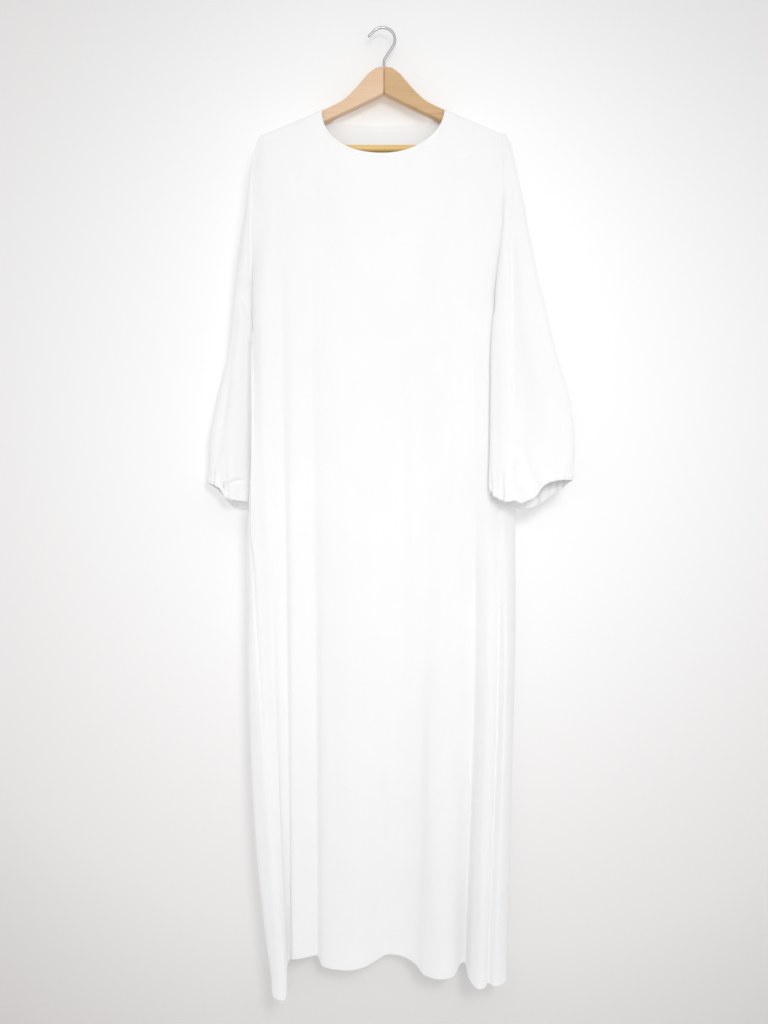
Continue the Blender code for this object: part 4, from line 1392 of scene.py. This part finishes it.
@dataclass
class BodyPanel:
    """The front or the back of the body; lengths in millimetres."""

    form: GarmentForm
    face: Face
    wall: float = 0.9
    steps: int = 8  # mesh columns from one fold line to the next
    yoke_rows: int = 26
    armhole_rows: int = 32
    skirt_rows: int = 176
    top_crowding: float = 1.8  # above 1, the rows of the yoke are closest at its top
    seam_run: float = 5.0  # a point this far past a side seam sets the cloth's direction there
    seam_groove: float = 1.6
    seam_width: float = 2.2
    seam_start: float = 20.0  # the groove starts this far below the underarm
    seam_fade: float = 40.0  # and has its whole depth this much lower
    side_fade: float = 12.0  # creases fade out this near to a side
    top_fade: float = 10.0  # and to the upper edge
    band_width: float = 7.0
    band_rise: float = 0.7
    band_edge: float = 1.5
    band_fade: float = 8.0  # the band ends over this width at the neck's corners
    band_groove: float = 0.5
    band_groove_gap: float = 1.0
    band_groove_width: float = 1.4
    hem_depth: float = 18.0
    hem_rise: float = 0.35
    hem_edge: float = 3.0
    hem_groove: float = 0.45
    hem_groove_width: float = 2.5

    def heights(self, z_top: float, hem: float) -> np.ndarray:
        """Heights of a mesh column's points, close together over the hanger's arm.

        Args:
            z_top: its upper end.
            hem: its lower end.

        Returns:
            The heights from the top down.
        """
        form = self.form
        shares = np.linspace(0, 1, self.yoke_rows, endpoint=False) ** self.top_crowding
        yoke = z_top + (form.yoke - z_top) * shares
        armhole = np.linspace(form.yoke, form.underarm, self.armhole_rows, endpoint=False)
        skirt = np.linspace(form.underarm, hem, self.skirt_rows + 1)
        return np.concatenate([yoke, armhole, skirt])

    def column(
        self, lines: list[Line], number: int, share: float, z: np.ndarray, x_top: float
    ) -> np.ndarray:
        """Points of one mesh column.

        Args:
            lines: the fold lines, with each side's seam and a line past it at the ends.
            number: the fold line to its left.
            share: how far it is to the next line.
            z: its heights.
            x_top: its place along the upper edge.

        Returns:
            The points, one a row.
        """
        low = np.minimum(z, self.form.yoke)
        at_seam = not share and number in (1, len(lines) - 2)
        if at_seam:
            place = lines[number](z)
        elif share:
            place = bend(*(lines[number + n](low) for n in (-1, 0, 1, 2)), share)
        else:
            place = lines[number](low)
        x, y = place[:, 0], place[:, 1]
        if not at_seam:
            above = z > self.form.yoke
            part = (z - z[0]) / (self.form.yoke - z[0])
            x = np.where(above, x_top + (x - x_top) * part, x)
            y = np.where(above, self.form.over_arm(x, z, y), y)
        return np.stack([x, y, z], axis=-1)

    def grid(self) -> np.ndarray:
        """Points of the panel, from the upper edge to the hem, without its creases.

        Returns:
            The points, rows by columns by 3.
        """
        form, face, folds = self.form, self.face, FOLDS[self.face]
        first, last = face.sides

        def edge(side: Side, out: float) -> Line:
            """A line along a side seam, moved out of the panel by a length."""
            return lambda z: form.seam(side, face, z) + form.edge_way(side, face, z) * out

        lines = [edge(first, self.seam_run), edge(first, 0.0)]
        lines += [lambda z, line=line: form.fold(line, face, z) for line in folds]
        lines += [edge(last, 0.0), edge(last, self.seam_run)]
        start_top = 0.0 if first is Side.LEFT else 3.0
        tops = [start_top, *(f.top for f in folds), 3.0 - start_top]
        hems = [SIDE_SEAMS[first][-1].z, *(f.hem for f in folds), SIDE_SEAMS[last][-1].z]
        spans = len(hems) - 1
        at = np.linspace(0, spans, 1 + self.steps * spans)
        hem_curve = smooth_through(list(range(spans + 1)), hems, at)
        columns = []
        for place, hem in enumerate(hem_curve):
            number, step = divmod(place, self.steps)
            share = step / self.steps
            after = min(number + 1, spans)
            x_top, z_top = form.upper_edge(tops[number] + (tops[after] - tops[number]) * share, face)
            z = self.heights(z_top, float(hem))
            columns.append(self.column(lines, number + 1, share, z, x_top))
        return np.stack(columns, axis=1)

    def creased(self, points: np.ndarray) -> np.ndarray:
        """Raise or sink the creases, the side seams, the neck's band and the hem along the grid's normals.

        Args:
            points: the panel's grid.

        Returns:
            The grid with its relief.
        """
        lift = np.zeros(points.shape[:2])
        for crease in BODY_CREASES[self.face]:
            lift += crease.lift(points[..., 0], points[..., 2])
        from_side = np.minimum(arc_places(points, 1), arc_places(points[:, ::-1], 1)[:, ::-1])
        down = arc_places(points, 0)
        lift = lift * soft_step(from_side / self.side_fade) * soft_step(down / self.top_fade)
        lift += self.neck_band(points, down) + self.hem_line(down[-1] - down)
        sewn = soft_step((self.form.underarm - self.seam_start - points[..., 2]) / self.seam_fade)
        lift -= self.seam_groove * np.exp(-((from_side / self.seam_width) ** 2)) * sewn
        return points + grid_normals(points, closed=False) * lift[..., None]

    def neck_band(self, points: np.ndarray, down: np.ndarray) -> np.ndarray:
        """Relief of the binding along the neckline.

        Args:
            points: the panel's grid.
            down: each point's distance from the upper edge.

        Returns:
            The relief at each point.
        """
        x = points[0, :, 0]
        left, right = self.form.neck_left, self.form.neck_right
        fade = self.band_fade
        inside = soft_step((x - left + fade / 2) / fade) * soft_step((right + fade / 2 - x) / fade)
        past = down - self.band_width
        band = self.band_rise * (1 - soft_step(past / self.band_edge))
        groove = self.band_groove * np.exp(-(((past - self.band_groove_gap) / self.band_groove_width) ** 2))
        return (band - groove) * inside

    def hem_line(self, rise: np.ndarray) -> np.ndarray:
        """Relief of the turned hem: a shallow stitched groove and a thicker edge below it.

        Args:
            rise: each point's distance from the hem.

        Returns:
            The relief at each point.
        """
        past = rise - self.hem_depth
        thicker = self.hem_rise * (1 - soft_step(past / self.hem_edge))
        return thicker - self.hem_groove * np.exp(-((past / self.hem_groove_width) ** 2))

    def build(self, material: bpy.types.Material) -> None:
        """Make the panel in the place of its CAD node."""
        sheet = ClothSheet("body_" + self.face.value, self.creased(self.grid()))
        sheet.hang(material, self.wall, self.face.value, ["arm_left", "arm_right"])


@dataclass
class SleevePiece:
    """A full sleeve with its drawn-in cuff; lengths in millimetres."""

    form: GarmentForm
    side: Side
    wall: float = 0.9
    columns: int = 150
    armhole_rows: int = 60
    arm_rows: int = 90
    end_rows: int = 26
    cuff_rows: int = 12
    top_crowding: float = 1.3  # above 1, the rows of the armhole are closest at its top
    end_start: float = -715.0
    cuff_tall: float = 11.0
    cuff_bulge: float = 0.9
    cuff_fullness: float = 0.6  # below 1, the bulge has a flat middle
    crease_turn: float = 0.5  # how far the cloth faces forward, or back, where a crease has its whole depth
    gather_depth: float = 1.1
    gather_waves: tuple[tuple[int, float], ...] = ((9, 0.0), (14, 1.3), (23, 0.4))  # counts and phases

    def rim(self, angle: np.ndarray) -> np.ndarray:
        """Height of the cuff's lower edge."""
        return read_rows(CUFF_RIMS[self.side], "angle", "height", angle % 360)

    def around(self) -> np.ndarray:
        """Share of the way round at each mesh column."""
        return np.linspace(0, 1, self.columns + 1)

    def armhole_part(self) -> np.ndarray:
        """Rows of points in the armhole, from the shoulder's tip to the underarm.

        Returns:
            The points, rows by columns by 3.
        """
        form, side = self.form, self.side
        crown = form.shoulder_tip(side)
        share = self.around()
        steps = np.linspace(0, 1, self.armhole_rows + 1)[1:-1] ** self.top_crowding
        heights = crown[2] + (form.underarm - crown[2]) * steps
        z = np.repeat(heights[:, None], len(share), axis=1)
        flat_z = z.reshape(-1)
        flat_share = np.tile(share, len(heights))
        places = form.armhole_ring(side, flat_z, flat_share).reshape(len(heights), len(share), 2)
        rows = np.concatenate([places, z[..., None]], axis=-1)
        first = rows[0]
        half = np.abs(1 - 2 * share)[:, None]
        edge = np.where((share < 0.5)[:, None], first[:1], first[-1:])
        head = crown + (edge - crown) * half
        return np.concatenate([head[None], rows])

    def ring_part(self) -> np.ndarray:
        """Rows of whole rings, from the underarm to the last level one.

        Returns:
            The points, rows by columns by 3.
        """
        form, side = self.form, self.side
        share = self.around()
        heights = np.linspace(form.underarm, self.end_start, self.arm_rows + 1)
        rows = []
        for height in heights:
            z = np.full(len(share), height)
            ring = form.sleeve_ring(side, z, (180 - 360 * share) % 360)
            opened = form.armhole_ring(side, z, share)
            mix = float(soft_step(np.array([(form.underarm - height) / form.underarm_blend]))[0])
            places = opened * (1 - mix) + ring * mix
            rows.append(np.concatenate([places, z[:, None]], axis=-1))
        return np.stack(rows)

    def gathered(self, z: np.ndarray, share: float) -> np.ndarray:
        """A ring near the cuff with its gathers.

        Args:
            z: the height of each column's point.
            share: how deep the gathers are, from 0 to 1.

        Returns:
            The ring's points.
        """
        angle = 180 - 360 * self.around()
        places = self.form.sleeve_ring(self.side, z, angle % 360)
        turn = np.radians(angle)
        wave = sum(np.cos(turn * count + phase) for count, phase in self.gather_waves)
        wave = wave * self.gather_depth * share
        x = places[:, 0] + wave * np.cos(turn) * self.side.value
        y = places[:, 1] - wave * np.sin(turn)
        return np.stack([x, y, z], axis=-1)

    def end_part(self) -> np.ndarray:
        """Rows from the last level ring to the cuff's seam, which follow the cuff's slant.

        Returns:
            The points, rows by columns by 3.
        """
        angle = 180 - 360 * self.around()
        seam = self.rim(angle) + self.cuff_tall
        start = self.end_start
        shares = np.linspace(0, 1, self.end_rows + 1)[1:]
        return np.stack([self.gathered(start + (seam - start) * share, share) for share in shares])

    def cuff_part(self) -> np.ndarray:
        """Rows of the cuff's casing, which bulges between its seam and its edge.

        Returns:
            The points, rows by columns by 3.
        """
        rim = self.rim(180 - 360 * self.around())
        shares = np.linspace(0, 1, self.cuff_rows + 1)
        points = np.stack([self.gathered(rim + self.cuff_tall * (1 - share), 1.0) for share in shares])
        bulge = self.cuff_bulge * np.sin(math.pi * shares) ** self.cuff_fullness
        return points + self.outward(points) * bulge[:, None, None]

    def creased(self, points: np.ndarray) -> np.ndarray:
        """Raise or sink the sleeve's creases, those of the front on the front alone.

        Args:
            points: the sleeve's rings.

        Returns:
            The rings with their creases.
        """
        normals = self.outward(points)
        back = normals[..., 1]
        for creases, facing in ((SLEEVE_CREASES, -back), (SLEEVE_BACK_CREASES, back)):
            lift = sum(crease.lift(points[..., 0], points[..., 2]) for crease in creases[self.side])
            points = points + normals * (lift * soft_step(facing / self.crease_turn))[..., None]
        return points

    def outward(self, points: np.ndarray) -> np.ndarray:
        """Normals of a ring of cloth, pointing out of the sleeve."""
        return grid_normals(points, closed=True) * self.side.value

    def build(self, material: bpy.types.Material) -> None:
        """Make the sleeve and its cuff in the place of their CAD nodes.

        Args:
            material: the cloth's material.
        """
        armhole = self.armhole_part()
        points = self.creased(np.concatenate([armhole, self.ring_part(), self.end_part()]))
        side = self.side.name.lower()
        parts = (
            (ClothSheet("sleeve_tube_" + side, points, True, len(armhole)), "sleeve_" + side),
            (ClothSheet("cuff_band_" + side, self.cuff_part(), True, 0), "cuff_" + side),
        )
        for sheet, node in parts:
            if self.side is Side.LEFT:
                sheet.points = sheet.points[:, ::-1]
            sheet.hang(material, self.wall, node, ["body_front"])


# Studio


@dataclass(frozen=True)
class Lamp:
    """A square lamp with a grid before it, which keeps the corners of the backdrop dimmer."""

    name: str
    place: Place
    target: Place  # the point that it faces
    power: float  # in watts
    size: float  # its side in metres
    spread: float  # the whole angle of its beam in degrees

    def build(self) -> None:
        """Set the lamp up."""
        data = bpy.data.lights.new(self.name, "AREA")
        data.energy = self.power
        data.size = self.size
        data.spread = math.radians(self.spread)
        light = bpy.data.objects.new(self.name, data)
        light.location = self.place
        aim = Vector(self.target) - Vector(self.place)
        light.rotation_euler = aim.to_track_quat("-Z", "Y").to_euler()
        bpy.context.scene.collection.objects.link(light)


@dataclass
class Studio:
    """Camera, pale floor and backdrop, and soft light; lengths in metres."""

    eye: Place = (0.0, -1.300, -0.792)
    focal_pixels: float = 793.0
    frame_height: float = 1024.0
    sensor: float = 36.0  # in millimetres
    near: float = 0.05
    far: float = 50.0
    backdrop_depth: float = 0.024
    floor_height: float = -1.70
    half_width: float = 3.0
    sky_strength: float = 0.87
    sky_axis: Place = (0.2, -0.35, -0.9)  # the surrounding is brightest this way
    sky_bright: Colour = (1.18, 1.18, 1.17)
    sky_dim: Colour = (0.82, 0.82, 0.83)
    lamps: tuple[Lamp, ...] = (
        Lamp("key", (0.45, -1.8, -0.08), (0.0, 0.0, -1.08), power=2.15, size=0.45, spread=80),
        Lamp("fill", (-0.15, -1.9, -0.75), (-0.15, 0.0, -0.86), power=0.75, size=0.25, spread=80),
        Lamp("neck fill", (0.0, -1.3, -0.12), (0.0, 0.0, -0.18), power=0.055, size=0.2, spread=40),
        Lamp("back light", (-1.5, 1.3, 0.1), (0.0, 0.0, -0.85), power=2.4, size=0.3, spread=80),
    )

    def build_camera(self) -> None:
        """Set the camera at the photograph's viewing angle."""
        data = bpy.data.cameras.new("camera")
        data.sensor_fit = "VERTICAL"
        data.sensor_width = self.sensor
        data.sensor_height = self.sensor
        data.lens = self.focal_pixels / self.frame_height * self.sensor
        data.clip_start = self.near
        data.clip_end = self.far
        camera = bpy.data.objects.new("camera", data)
        camera.location = self.eye
        camera.rotation_euler = (math.pi / 2, 0.0, 0.0)
        bpy.context.scene.collection.objects.link(camera)
        bpy.context.scene.camera = camera

    def build_room(self) -> None:
        """Make the floor, and the backdrop, which only the camera sees."""
        bpy.ops.object.select_all(action="DESELECT")
        bpy.ops.mesh.primitive_plane_add(size=2 * self.half_width, location=(0, 0, self.floor_height))
        floor = bpy.context.object
        bpy.ops.mesh.primitive_plane_add(
            size=2 * self.half_width,
            location=(0, self.backdrop_depth, self.floor_height + self.half_width),
            rotation=(math.pi / 2, 0, 0),
        )
        backdrop = bpy.context.object
        for piece, name, paint in ((floor, "floor", FLOOR_PAINT), (backdrop, "wall", BACKDROP_PAINT)):
            Workbench.pick(piece)
            bpy.ops.object.transform_apply(location=True, rotation=True, scale=True)
            piece.name = name
            piece.data.materials.append(paint.make())
        backdrop.visible_diffuse = False
        backdrop.visible_glossy = False
        backdrop.visible_shadow = False

    def build_light(self) -> None:
        """Set up the lamps and a pale surrounding that is brighter towards one side."""
        world = bpy.data.worlds.new("pale surrounding")
        bpy.context.scene.world = world
        world.use_nodes = True
        sky = world.node_tree.nodes["Background"]
        sky.inputs["Strength"].default_value = self.sky_strength
        nodes, links = world.node_tree.nodes, world.node_tree.links
        along = nodes.new("ShaderNodeVectorMath")
        along.operation = "DOT_PRODUCT"
        along.inputs[1].default_value = self.sky_axis
        links.new(nodes.new("ShaderNodeTexCoord").outputs["Generated"], along.inputs[0])
        share = nodes.new("ShaderNodeMapRange")
        share.inputs["From Min"].default_value = -1.0
        links.new(along.outputs["Value"], share.inputs["Value"])
        tone = nodes.new("ShaderNodeValToRGB")
        tone.color_ramp.elements[0].color = (*self.sky_dim, 1.0)
        tone.color_ramp.elements[1].color = (*self.sky_bright, 1.0)
        links.new(share.outputs["Result"], tone.inputs["Fac"])
        links.new(tone.outputs["Color"], sky.inputs["Color"])
        for lamp in self.lamps:
            lamp.build()

    def build_view(self) -> None:
        """Show the light as it is, without a film curve."""
        bpy.context.scene.view_settings.view_transform = "Standard"

    def build(self) -> None:
        """Make the whole studio."""
        self.build_camera()
        self.build_room()
        self.build_light()
        self.build_view()


def main() -> None:
    """Build the hanger, the garment and the studio."""
    logging.basicConfig(level=logging.INFO, format="%(name)s: %(message)s")
    hanger = Hanger()
    hanger.build()
    form = GarmentForm(hanger)
    cloth = CREPE.make()
    for face in Face:
        BodyPanel(form, face).build(cloth)
    for side in Side:
        SleevePiece(form, side).build(cloth)
    Studio().build()


if __name__ == "__main__":
    main()
